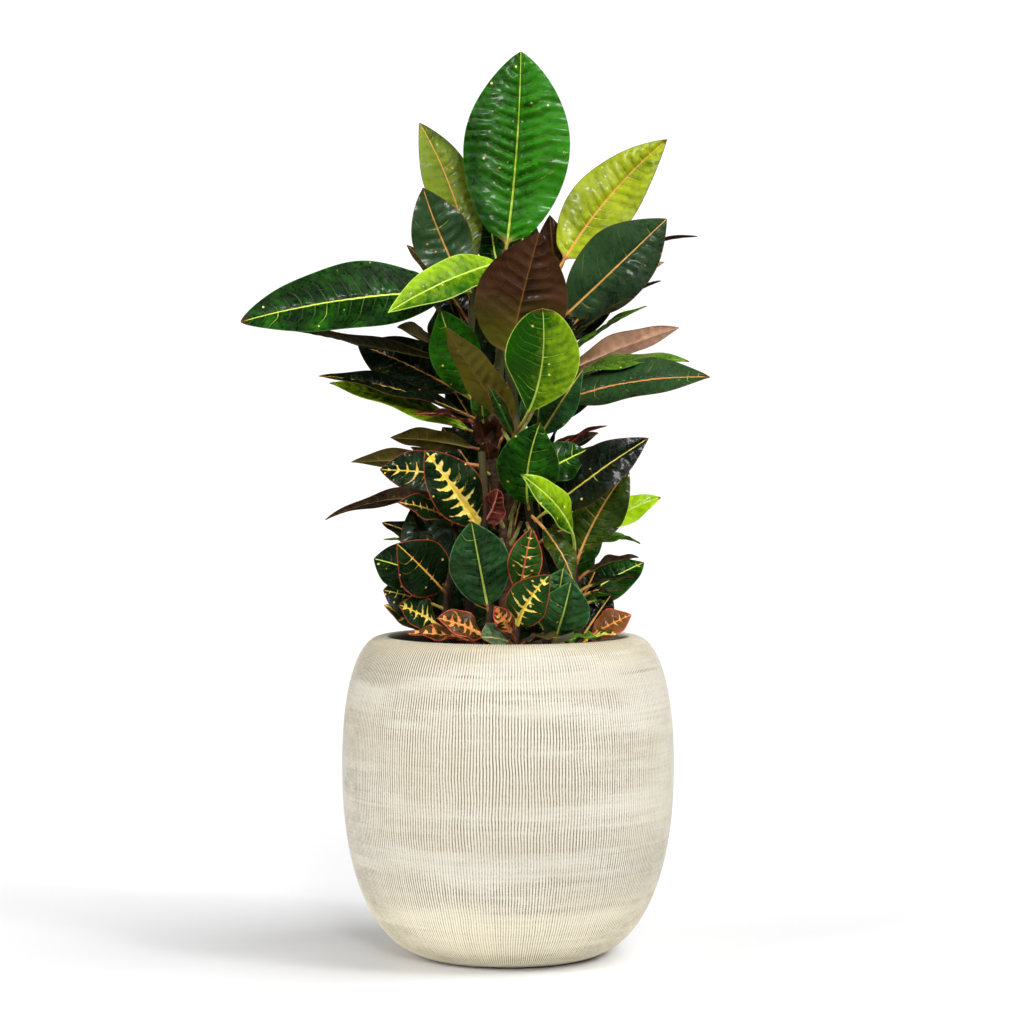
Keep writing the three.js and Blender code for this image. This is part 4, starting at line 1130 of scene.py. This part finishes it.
def relief(leaf, v, s, half, veins, blade_length):
    """The heights of the upper and the lower side over the midrib, and the count of side veins passed."""
    far, luck = np.abs(s), leaf["luck"]
    ruffle_phase = WAVES * v + leaf["phase"] + np.where(s > 0, 0.25, 0)
    ruffle = EDGE_WAVE * far * np.sin(2 * np.pi * ruffle_phase) * np.sin(np.pi * v)
    rise = half * (math.sin(FOLD) * np.sqrt(far**2 + 0.002) - CURL * far**2) + ruffle
    wander = 0.28 * np.sin(4.3 * far + 9 * v + 20 * luck) * far
    vein = veins * (v - (0.3 * far + 0.45 * far**3) * half / blade_length) + wander + 40
    # What a large sine has after its decimal point is a chance that stays the same in every run.
    cell = np.sin(np.floor(vein) * 12.9898 + np.sign(s) * 4.1 + luck * 37) * 43758.5453
    puff = leaf["puff"] * (PUFF + PUFF_BY_WIDTH * leaf["width"]) * (0.4 + 1.1 * (cell - np.floor(cell)))
    edge_fade = (1 - far**4) * smooth(far * half, 0.5, 4.0) * np.sin(np.pi * v) ** 0.4
    quilt = puff * np.abs(np.sin(np.pi * vein)) ** 0.8 * edge_fade
    east, north = s * half, v * blade_length
    cockle = np.sin(0.4 * east + 0.2 * north + 9 * luck) * np.sin(0.31 * north - 0.25 * east)
    gentle = (0.5 * np.sin(5 * v + 3 * s + 9 * luck) + 0.55 * cockle * (1 - far**2)) * np.sin(np.pi * v)
    groove = GROOVE_DEPTH * np.exp(-((far * half / 1.5) ** 2)) * smooth(v, 0, 0.2)
    top = rise + quilt + gentle - groove
    rib = (RIB_DEPTH * (1 - v) ** 2 + 0.3) * np.exp(-((far * half / 1.6) ** 2))
    side_ribs = SIDE_RIB_DEPTH * (1 - np.abs(np.sin(np.pi * vein)) ** 0.5) * edge_fade
    return top, top - BLADE_THICKNESS * (1 - 0.35 * far**4) - rib - side_ribs, vein


print("leaf relief ready")

# %% [markdown]
# The stalk and the blade share their rings, with as many points above as below. A smooth share
# turns the stalk's round ring into the blade's flat one over the first part of the blade.

# %% One leaf as arrays
def leaf_arrays(leaf):
    """Points, faces and the skin's values of one leaf, in millimetres."""
    root, middle, tip, up, length = leaf_frame(leaf)
    veins = int(np.clip(round(length / VEIN_SPACING), FEWEST_VEINS, MOST_VEINS))
    # Rows lie closer together at both ends of the blade, and columns at its midrib.
    even = np.linspace(0, 1, ROWS_PER_VEIN * veins)
    blade_v = 0.6 * even + 0.4 * (0.5 - 0.5 * np.cos(np.pi * even))
    start = min(LONGEST_STALK, leaf["stalk"] / length)
    v = np.concatenate([np.zeros(STALK_ROWS), blade_v])[:, None]
    stalk_t = np.linspace(0, start, STALK_ROWS, endpoint=False)
    t = np.concatenate([stalk_t, start + (1 - start) * blade_v])[:, None]
    x = np.linspace(-1, 1, COLUMNS)
    s = (0.35 * x + 0.65 * x**3)[None, :]
    half, blade_length = half_width(leaf, v), length * (1 - start)
    top, bottom, vein = relief(leaf, v, s, half, veins, blade_length)

    blade = smooth(v, 0.0, 0.07)
    radius = STALK_RADIUS * (1 + 0.25 * smooth(t, 0.06, 0.0) - 0.12 * smooth(t, 0.0, start))
    quarter = s * np.pi / 2
    wide = mix(radius * np.sin(quarter), s * half * math.cos(FOLD), blade)
    top = mix(radius * np.cos(quarter), top, blade)
    bottom = mix(-radius * np.cos(quarter), bottom, blade)
    centre, along = arc(t, root, middle, tip)
    lift = unit(up - along * (along @ up)[:, None])
    across = np.cross(along, lift)

    def placed(height):
        return centre[:, None] + across[:, None] * wide[..., None] + lift[:, None] * height[..., None]

    rings = np.concatenate([placed(top), placed(bottom)[:, ::-1]], axis=1)
    rows, count = rings.shape[:2]

    def both(values):
        """The same values on the upper and the lower side."""
        values = np.broadcast_to(values, (rows, COLUMNS))
        return np.concatenate([values, values[:, ::-1]], axis=1).ravel()

    # The tone mark also carries painted light and shade: one half of the blade is made lighter and the other
    # darker, as light falls across the fold.
    marks = {"across": both(s), "along": both(v), "reach": both(half), "vein": both(vein),
             "blade": both(blade), "tone": both(leaf["tone"] + leaf["painted_side_shade"] * s),
             "upper": np.tile([1.0] * COLUMNS + [0.0] * COLUMNS, rows),
             "span": np.full(rows * count, blade_length / veins)}
    for label in ("luck", "gold", "lines", "warm"):
        marks[label] = np.full(rows * count, leaf[label])
    return rings.reshape(-1, 3), tube_faces(rows, count), marks


print("leaf form ready")

# %% [markdown]
# ## The skins
# No two croton leaves are alike: old ones are nearly black with an orange midrib, young ones are
# lime, some are splashed with gold along the veins, and the undersides are bronze or dusty pink.
# One formula draws them all. It reads the leaf's own coordinates in millimetres, so that a vein is
# drawn on the relief's vein and stays as thin on a large leaf as on a small one. The gold of a
# croton starts as a broad band along the midrib and runs out along each side vein in a tapering
# tooth. How far a tooth runs is that vein's own chance.

# %% Veins and gold
DOT_SCALE = 115.0
LEAF_MARKS = (
    "across", "along", "reach", "vein", "span", "upper", "blade", "luck", "gold", "lines", "warm", "tone",
)


def veins_of(sheet, read, mottle):
    """Masks of the side veins, midrib, gold, margin and painted quilt shade, from distances in mm."""
    share = read["across"].size()
    off_rib = share * read["reach"]
    count = read["vein"] + (mottle - 0.5) * 0.16
    number = count.whole()
    off_vein = (count - number).size() * read["span"]
    side = read["across"].math("SIGN", read["across"])
    luck = sheet.chance(number + 0.31 * side + 71.0 * read["luck"])
    width = 0.8 - 0.45 * share
    line = off_vein.ramp(width, width * 0.3) * (0.35 + 0.65 * luck) * (1.0 - 0.6 * share)

    rib_width = 1.7 - 1.15 * read["along"]
    rib = off_rib.ramp(rib_width, rib_width * 0.5)
    core = read["gold"] * (0.8 + 5.4 * (1.0 - read["along"]) ** 1.4) - off_rib
    reach = (read["reach"] * read["lines"] * (0.2 + 0.8 * luck)).most(0.5)
    tooth = (0.7 + 0.7 * read["lines"] + 2.6 * read["gold"]) * (1.0 - off_rib / reach) - off_vein
    gold = core.most(tooth) + (mottle - 0.5) * (1.2 + 3.4 * read["gold"])
    gold = gold.ramp(0.0, 0.45) * (read["gold"] + read["lines"]).ramp(0.0, 0.05)
    return {"line": line, "rib": rib, "gold": gold, "luck": luck,
            "painted_quilt_shade": (off_vein / read["span"]).ramp(0.04, 0.4), "off_edge": read["reach"] - off_rib}


def dots_of(sheet, read):
    """Rare round spots of gold, more of them on a leaf with gold along its side veins."""
    values = {"Vector": sheet.place(), "Scale": DOT_SCALE}
    distance, colour = sheet.node("ShaderNodeTexVoronoi", values=values, out=("Distance", "Color"))
    pick = sheet.node("ShaderNodeSeparateColor", values=[colour], out="Red")
    rare = 0.91 - 0.3 * read["lines"].least(1.0)
    return distance.ramp(0.19, 0.11) * pick.ramp(rare, rare + 0.02)


print("vein masks ready")

# %% [markdown]
# The two sides are painted in layers, from the ground up: the mottled green with a painted shade of
# the quilt, the veins, the gold, the midrib and the margin. The lower side is duller, and shows the
# small cells of the leaf.

# %% The upper and the lower side
def upper_side(sheet, read, mask, chart, cloud, mottle, fine):
    light = read["tone"] + 0.9 * (cloud - 0.5) + 0.6 * (mottle - 0.5) + 0.25 * (fine - 0.5)
    # Painted shade and light: the ground is darker in the creases at the veins and lighter on the puffs
    # between them.
    light = (light + 0.12 * (mask["painted_quilt_shade"] - 0.6)).ramp(0.0, 1.0)
    face = sheet.blend(light, chart["shade"], chart["light"])
    face = sheet.blend(mask["line"] * 0.6, face, chart["vein"])
    bright = mask["line"] * mask["luck"].ramp(0.75, 0.95) * cloud.ramp(0.48, 0.6) * 0.7
    face = sheet.blend(bright, face, chart["rib"])
    yellow = sheet.blend(mottle.ramp(0.35, 0.7), "#fbd02c", "#fff196")
    orange = sheet.blend(mottle.ramp(0.35, 0.7), "#c8602c", "#ee9e5c")
    glow = sheet.blend(read["warm"] * (0.5 + cloud), yellow, orange)
    face = sheet.blend(mask["gold"], face, glow)
    midrib = sheet.blend(read["warm"], chart["rib"], "#dd9450")
    face = sheet.blend(mask["rib"] * 0.95, face, midrib)
    face = sheet.blend(mask["edge"] * 0.85, face, chart["edge"])
    dry_tip = read["along"].ramp(0.955, 0.985) * read["luck"].ramp(0.3, 0.35)
    return sheet.blend(dry_tip * 0.85, face, "#46290f")


def lower_side(sheet, read, mask, chart, cloud, mottle, fine):
    light = (0.5 + 1.2 * (cloud - 0.5) + 0.9 * (mottle - 0.5) + 0.6 * (fine - 0.5)).ramp(0.0, 1.0)
    under = sheet.blend(light, chart["under"], chart["under_light"])
    near_base = (read["along"].ramp(0.55, 0.1) * 0.8).most((read["tone"] - 0.5) * 1.5)
    under = sheet.blend(near_base, under, chart["base"])
    under = sheet.blend(mask["cells"].ramp(0.09, 0.0) * 0.4, under, chart["under"])
    under = sheet.blend(mask["line"] * 0.5, under, chart["under_vein"])
    under = sheet.blend(mask["gold"] * 0.35, under, "#a8803c")
    under = sheet.blend(mask["rib"] * 0.8, under, chart["under_vein"])
    return sheet.blend(mask["edge"] * 0.6, under, chart["edge"])


print("both sides ready")

# %% [markdown]
# A skin joins the two sides and the stalk by the marks that the points carry. The waxy sheen is a
# fairly rough ground under a thin clear coat, with a fine bump of leaf cells.

# %% The skin formula
LEAF_SHEEN = {"Specular IOR Level": 0.27, "Coat Weight": 0.15, "Coat Roughness": 0.12}
LEAF_ROUGHNESS, CELL_SCALE = 0.27, 430.0


def leaf_skin(name, chart, margin):
    """A leaf material from named colours and the width of its coloured margin, in millimetres."""

    def draw(sheet):
        read = {key: sheet.attribute(key) for key in LEAF_MARKS}
        mottle = sheet.noise(170.0, 3.0, roughness=0.6)
        cloud, fine = sheet.noise(38.0, 3.0), sheet.noise(900.0, 2.0)
        mask = veins_of(sheet, read, mottle)
        mask["gold"] = mask["gold"].most(dots_of(sheet, read) * 0.85)
        mask["edge"] = mask["off_edge"].ramp(margin * 1.3, margin * 0.5)
        values = {"Vector": sheet.place(), "Scale": CELL_SCALE}
        settings = {"feature": "DISTANCE_TO_EDGE"}
        mask["cells"] = sheet.node("ShaderNodeTexVoronoi", settings, values, "Distance")
        face = upper_side(sheet, read, mask, chart, cloud, mottle, fine)
        under = lower_side(sheet, read, mask, chart, cloud, mottle, fine)
        colour = sheet.blend(read["upper"].ramp(0.3, 0.7), under, face)
        stalk = sheet.blend(cloud.ramp(0.3, 0.7), chart["rib"], "#8a4a34")
        stalk = sheet.blend(read["warm"] * 0.6, stalk, "#9a4a34")
        colour = sheet.blend(read["blade"].ramp(0.2, 0.95), stalk, colour)
        rough = LEAF_ROUGHNESS + 0.2 * (mottle - 0.4) + 0.1 * mask["gold"] + 0.24 * (1.0 - read["upper"])
        grain = mask["cells"].ramp(0.0, 0.12) * 0.5 + 0.5 * fine - 0.6 * mask["line"]
        return {"Base Color": colour, "Roughness": rough, "Normal": sheet.bump(grain, 0.0004, 0.6)}

    return material(name, draw, **LEAF_SHEEN)


print("skin formula ready")

# %% [markdown]
# Eighteen skins use the formula, each with nine colours of its own: the ground in shade and in
# light, the veins, the midrib and the margin of the upper side, and the like for the lower one.

# %% The colours of the skins
TINTS = {
    "deep": dict(shade="#051603", light="#2c7a06", vein="#5a9030", rib="#cfe056", edge="#3c6c20",
                 under="#2c3a10", under_light="#4c6220", under_vein="#8a9646", base="#3e4c16"),
    "dark": dict(shade="#040a04", light="#2b4724", vein="#3f5c32", rib="#bcc44c", edge="#5a2e1e",
                 under="#262410", under_light="#463c20", under_vein="#7a6e40", base="#2c3010"),
    "green": dict(shade="#123404", light="#5c8e22", vein="#86aa44", rib="#c6cf6c", edge="#64882e",
                  under="#3c5c1c", under_light="#5e7c30", under_vein="#9cac5c", base="#4c6c24"),
    "lime": dict(shade="#184a02", light="#96bc08", vein="#86b02c", rib="#bcd458", edge="#b0cc4c",
                 under="#5c8414", under_light="#88ac28", under_vein="#bccc6c", base="#6c9018"),
    "yellow": dict(shade="#445c06", light="#a8b610", vein="#dcdc34", rib="#e4aa44", edge="#501f16",
                   under="#5e7014", under_light="#848e28", under_vein="#b8ac50", base="#5e6a18"),
    "olive": dict(shade="#1a3204", light="#708418", vein="#9a9c48", rib="#dca458", edge="#5a2c20",
                  under="#3a340a", under_light="#5a4e14", under_vein="#8c7c38", base="#3e400c"),
    "bronze": dict(shade="#142e18", light="#2a4a20", vein="#5a6a34", rib="#b0823e", edge="#58301a",
                   under="#291406", under_light="#4c2a10", under_vein="#704e24", base="#58560a"),
    "brown": dict(shade="#20200c", light="#545028", vein="#7c7842", rib="#c09454", edge="#4e241a",
                  under="#261a10", under_light="#503c26", under_vein="#8c7048", base="#3e3c16"),
    "pink": dict(shade="#22401e", light="#40602c", vein="#80804c", rib="#d89c6c", edge="#7c3e30",
                 under="#bc8668", under_light="#e6b292", under_vein="#e0b494", base="#8a6a40"),
    "purple": dict(shade="#180807", light="#401a16", vein="#64302a", rib="#a04a34", edge="#842424",
                   under="#300e0c", under_light="#52201a", under_vein="#c04e44", base="#3e120e"),
    "grey": dict(shade="#22381c", light="#64805a", vein="#88a070", rib="#b8bc80", edge="#a0603a",
                 under="#44563a", under_light="#6c805e", under_vein="#98a47c", base="#4c5e38"),
    "dry": dict(shade="#1c0f0a", light="#54301f", vein="#7a4a30", rib="#6e4428", edge="#2a1610",
                under="#1c100b", under_light="#4e2c1c", under_vein="#6e4430", base="#341c12"),
    "sea": dict(shade="#06140a", light="#2c5a28", vein="#4c7c4c", rib="#c4d860", edge="#5a8658",
                under="#2c3a1c", under_light="#4c6238", under_vein="#8a9660", base="#3e4c2a"),
    "rose": dict(shade="#2c0e0a", light="#5a2018", vein="#e07a66", rib="#e88a74", edge="#d8685a",
                 under="#34100c", under_light="#6a2a20", under_vein="#f08c78", base="#5a241c"),
    "strip": dict(shade="#0a1e08", light="#2c5a20", vein="#5a8430", rib="#4c7028", edge="#84202c",
                  under="#2c1c10", under_light="#4c3020", under_vein="#8a5038", base="#6a1c22"),
    "orange": dict(shade="#1e2408", light="#6e4420", vein="#c87440", rib="#e4843e", edge="#c8503c",
                   under="#4e2c14", under_light="#764c2a", under_vein="#b87438", base="#4e3c12"),
    "yellow_veined": dict(shade="#040e05", light="#1e4614", vein="#3c6420", rib="#eccc4c", edge="#a03c28",
                          under="#2c3812", under_light="#4c5824", under_vein="#9c9040", base="#384414"),
    "red_veined": dict(shade="#071a05", light="#2a5818", vein="#d0a03a", rib="#d0503c", edge="#c45038",
                       under="#3e2a12", under_light="#605026", under_vein="#a87040", base="#3e3a12"),
}
COMMON_MARGIN = 0.7
MARGINS = {"yellow_veined": 1.0, "red_veined": 1.1, "orange": 1.2, "purple": 1.1, "lime": 1.0}
SKINS = {}
for name, chart in TINTS.items():
    SKINS[name] = leaf_skin("leaf_" + name, chart, MARGINS.get(name, COMMON_MARGIN))
print("skins:", len(SKINS))

# %% [markdown]
# Each skin has a usual share of gold along the midrib, of gold along the side veins, of orange in
# its midrib, and of light in its ground colour. The leaves that stand out in the photograph have
# their own: the boldest is splashed with gold over a third of its blade.

# %% The dress of each leaf
# The fifth value is painted light and shade: it makes one half of the blade lighter and the other darker.
def dress(gold, lines, warm, tone, painted_side_shade=0, puff=1):
    return dict(gold=gold, lines=lines, warm=warm, tone=tone, painted_side_shade=painted_side_shade, puff=puff)


DRESS = {
    "deep": dress(0, 0, 0, 0.35), "dark": dress(0, 0, 0.8, 0.3), "green": dress(0, 0, 0.1, 0.45),
    "lime": dress(0, 0, 0, 0.6), "yellow": dress(0, 0.35, 0.2, 0.6), "olive": dress(0, 0, 0.3, 0.45),
    "bronze": dress(0, 0, 0.5, 0.4), "brown": dress(0, 0, 0.5, 0.4), "pink": dress(0, 0, 0.5, 0.5),
    "purple": dress(0, 0, 0.6, 0.4), "grey": dress(0, 0, 0.2, 0.5), "orange": dress(0.55, 1.3, 0.9, 0.4),
    "yellow_veined": dress(0.3, 0.8, 0.15, 0.35), "red_veined": dress(0, 0.85, 0.35, 0.5),
    "dry": dress(0, 0, 0, 0.65), "sea": dress(0, 0, 0.3, 0.6),
}
OWN_DRESS = {
    "crown_tall": dress(0, 0, 0, 0.6, 0.25, 1.6), "left_big": dress(0, 0, 0, 0.2, 0, 0.45),
    "crown_left_dark": dress(0, 0, 0.9, 0.75), "crown_left_olive": dress(0, 0.1, 0.5, 0.7, -0.35),
    "right_dark": dress(0, 0, 0.8, 0.6, -0.2, 0.5), "right_long": dress(0, 0, 1, 0.7, -0.1, 0.5),
    "left_broad": dress(0, 0, 0.9, 0.1), "left_long": dress(0, 0, 0.7, 0.1),
    "glossy_left": dress(0, 0, 0, 0.45), "bronze_center": dress(0, 0, 0.5, 1),
    "right_top": dress(0, 0.2, 0.5, 0.62, -0.1), "right_low": dress(0, 0, 0.3, 0.04, 0, 0.45),
    "center_round": dress(0, 0, 0, 0.3), "center_round2": dress(0, 0, 0, 0.2),
    "left_round": dress(0, 0, 0, 0, 0, 0.5), "front_dark": dress(0, 0, 0, 0.45, 0, 2),
    "front_rib1": dress(0, 0, 0, 0.6, 0, 2.4), "front_rib2": dress(0, 0, 0, 0.6, 0, 2.4),
    "lime_fold": dress(0, 0, 0, 0.42, 0.3, 0.6), "center_strip": dress(0, 0, 0, 0.4),
    "lime_center": dress(0, 0, 0, 0.15, 0.5, 0.8), "red_fold": dress(0, 0.1, 0.2, 0.5, 0, 1.6),
    "right_blue": dress(0, 0, 0.5, 0.6), "lime_small": dress(0, 0.1, 0, 0.4, 0.3),
    "right_lime": dress(0, 0, 0, 1.05), "right_olive": dress(0, 0, 0, 0.2),
    "right_hang": dress(0, 0, 0, 0.12), "hero_left": dress(1.1, 0.9, 0.03, 0.3),
    "left_var": dress(0.25, 1, 0.3, 0.35), "left_fall": dress(0.15, 0.7, 0.4, 0.3),
    "left_big_var": dress(0.06, 0.3, 0.6, 0.2, 0, 0.6), "left_low_var": dress(0.35, 0.8, 0.1, 0.4),
    "left_low_yel": dress(1.3, 1, 0, 0.6), "front_yel": dress(0.6, 1, 0, 0.6),
    "right_base_pale": dress(0.9, 1, 0, 0.9), "right_base": dress(0.12, 0.7, 0.7, 0.9),
    "left_low_dark": dress(0.08, 0.5, 0.2, 0.3),
}
SHADED_FILL = 0.2
OWN_SKIN = {
    "front_dark": "sea", "front_rib1": "sea", "front_rib2": "sea", "right_blue": "sea", "glossy_left": "deep",
    "red_fold": "rose", "center_strip": "strip",
}
print("leaves with a dress of their own:", len(OWN_DRESS))

# %% [markdown]
# ## The leaves
# A mesh can hold one leaf or many. The leaves' points and faces are stacked, and each leaf wears its
# own dress and has the material slot of its own skin. The leaves that only fill the plant lie in its
# shade, and a painted shade makes their green darker.

# %% Leaf pieces
def leaf_mesh(name, group):
    """One mesh of several leaves, with a material slot for each skin among them."""
    mesh = bpy.data.meshes.new(name)
    worn = [OWN_SKIN.get(leaf["name"], leaf["skin"]) for leaf in group]
    skins = sorted(set(worn))
    points, faces, slots, marks = [], [], [], {}
    for leaf, skin in zip(group, worn):
        own = dict(OWN_DRESS.get(leaf["name"], DRESS[leaf["skin"]]))
        # Painted shade: a leaf without a name only fills the plant, so its green is made darker.
        own["tone"] -= 0 if leaf["name"] else SHADED_FILL
        new_points, new_faces, new_marks = leaf_arrays({**leaf, **own})
        shift = sum(len(p) for p in points)
        points.append(new_points * MM)
        faces += [[i + shift for i in face] for face in new_faces]
        slots += [skins.index(skin)] * len(new_faces)
        for label, values in new_marks.items():
            marks.setdefault(label, []).append(values)
    mesh.from_pydata(np.concatenate(points).tolist(), [], faces)
    for label, values in marks.items():
        data = mesh.attributes.new(label, "FLOAT", "POINT").data
        data.foreach_set("value", np.concatenate(values).astype(np.float32))
    for skin in skins:
        mesh.materials.append(SKINS[skin])
    mesh.polygons.foreach_set("material_index", slots)
    mesh.shade_smooth()
    mesh.set_sharp_from_angle(angle=SHARP)
    return mesh


print("leaf mesh ready")

# %% [markdown]
# Dry husks of stalks cling to the trunk. Seven small dark sprouts, low on the stems, close the gaps
# behind the front leaves. The CAD source has neither, so they are dressings on the trunk's node.

# %% Husks and sprouts
HUSKS = [
    leaf_row("", "trunk", 544, (-31, -24, 586), 24, "dry", (0.3, -1, 0.1), bow=-5),
    leaf_row("", "trunk", 552, (-6, -26, 588), 20, "dry", (-0.3, -1, 0.1), bow=-5),
    leaf_row("", "trunk", 536, (-24, -26, 560), 22, "dry", (0, -1, 0.2)),
]
SPROUTS = [
    leaf_row("", "base_right", 340, (112, 20, 388), 34, "dark", (0, -1, 0.3)),
    leaf_row("", "back_right", 340, (14, 40, 384), 34, "deep", (0, -1, 0.3)),
    leaf_row("", "back_low", 336, (-98, 40, 372), 32, "dark", (0, -1, 0.3)),
    leaf_row("", "back_low", 338, (-44, 34, 398), 32, "deep", (0, -1, 0.3)),
    leaf_row("", "trunk", 430, (14, 22, 494), 28, "dark", (0, -1, 0.3)),
    leaf_row("", "right_shoot", 556, (36, -8, 624), 42, "sea", (0, -1, 0.3)),
    leaf_row("", "base_left", 432, (-138, 24, 468), 30, "dark", (0, -0.7, 0.8)),
]


def show_sprigs(name, rows, stalk, slot):
    """Small extra leaves as one piece on the trunk's node."""
    sprigs = [{**LEAF_DEFAULTS, "phase": 0.3 * i, "luck": 0.37 * i, **row, "stalk": stalk}
              for i, row in enumerate(rows)]
    show(name, leaf_mesh(name, sprigs), slot, "trunk")


show_sprigs("trunk_husks", HUSKS, 3, "bark")
show_sprigs("trunk_sprouts", SPROUTS, 8, "leaf_dark")
print("husks and sprouts:", triangle_counts["trunk_husks"] + triangle_counts["trunk_sprouts"], "triangles")

# %% [markdown]
# The leaves of a stem's own greens are one piece with each other, as they are one solid in the
# source. A leaf of another colour is a piece of its own, in place of its own CAD node, unless its
# row says that it is fused.

# %% Leaves on their stems and in nodes of their own
def is_own_piece(leaf):
    return bool(leaf["name"]) and not leaf.get("fused") and leaf["skin"] not in OWN_GREENS


for leaf in filter(is_own_piece, leaves):
    name, slot = leaf["name"], "leaf_" + leaf["skin"]
    show(name + "_leaf", leaf_mesh(name, [leaf]), slot, "leaf_" + name)
for stem in STEMS:
    name, slot = stem["name"], "leaf_" + stem["skin"]
    group = [leaf for leaf in leaves if leaf["stem"] == name and not is_own_piece(leaf)]
    if group:
        show(name + "_leaves", leaf_mesh(name, group), slot, name)
print("leaf pieces:", sum(name.endswith(("_leaf", "_leaves")) for name in triangle_counts))

# %% Sizes and finish
print("triangles:", sum(triangle_counts.values()), "largest piece:", max(triangle_counts.values()))
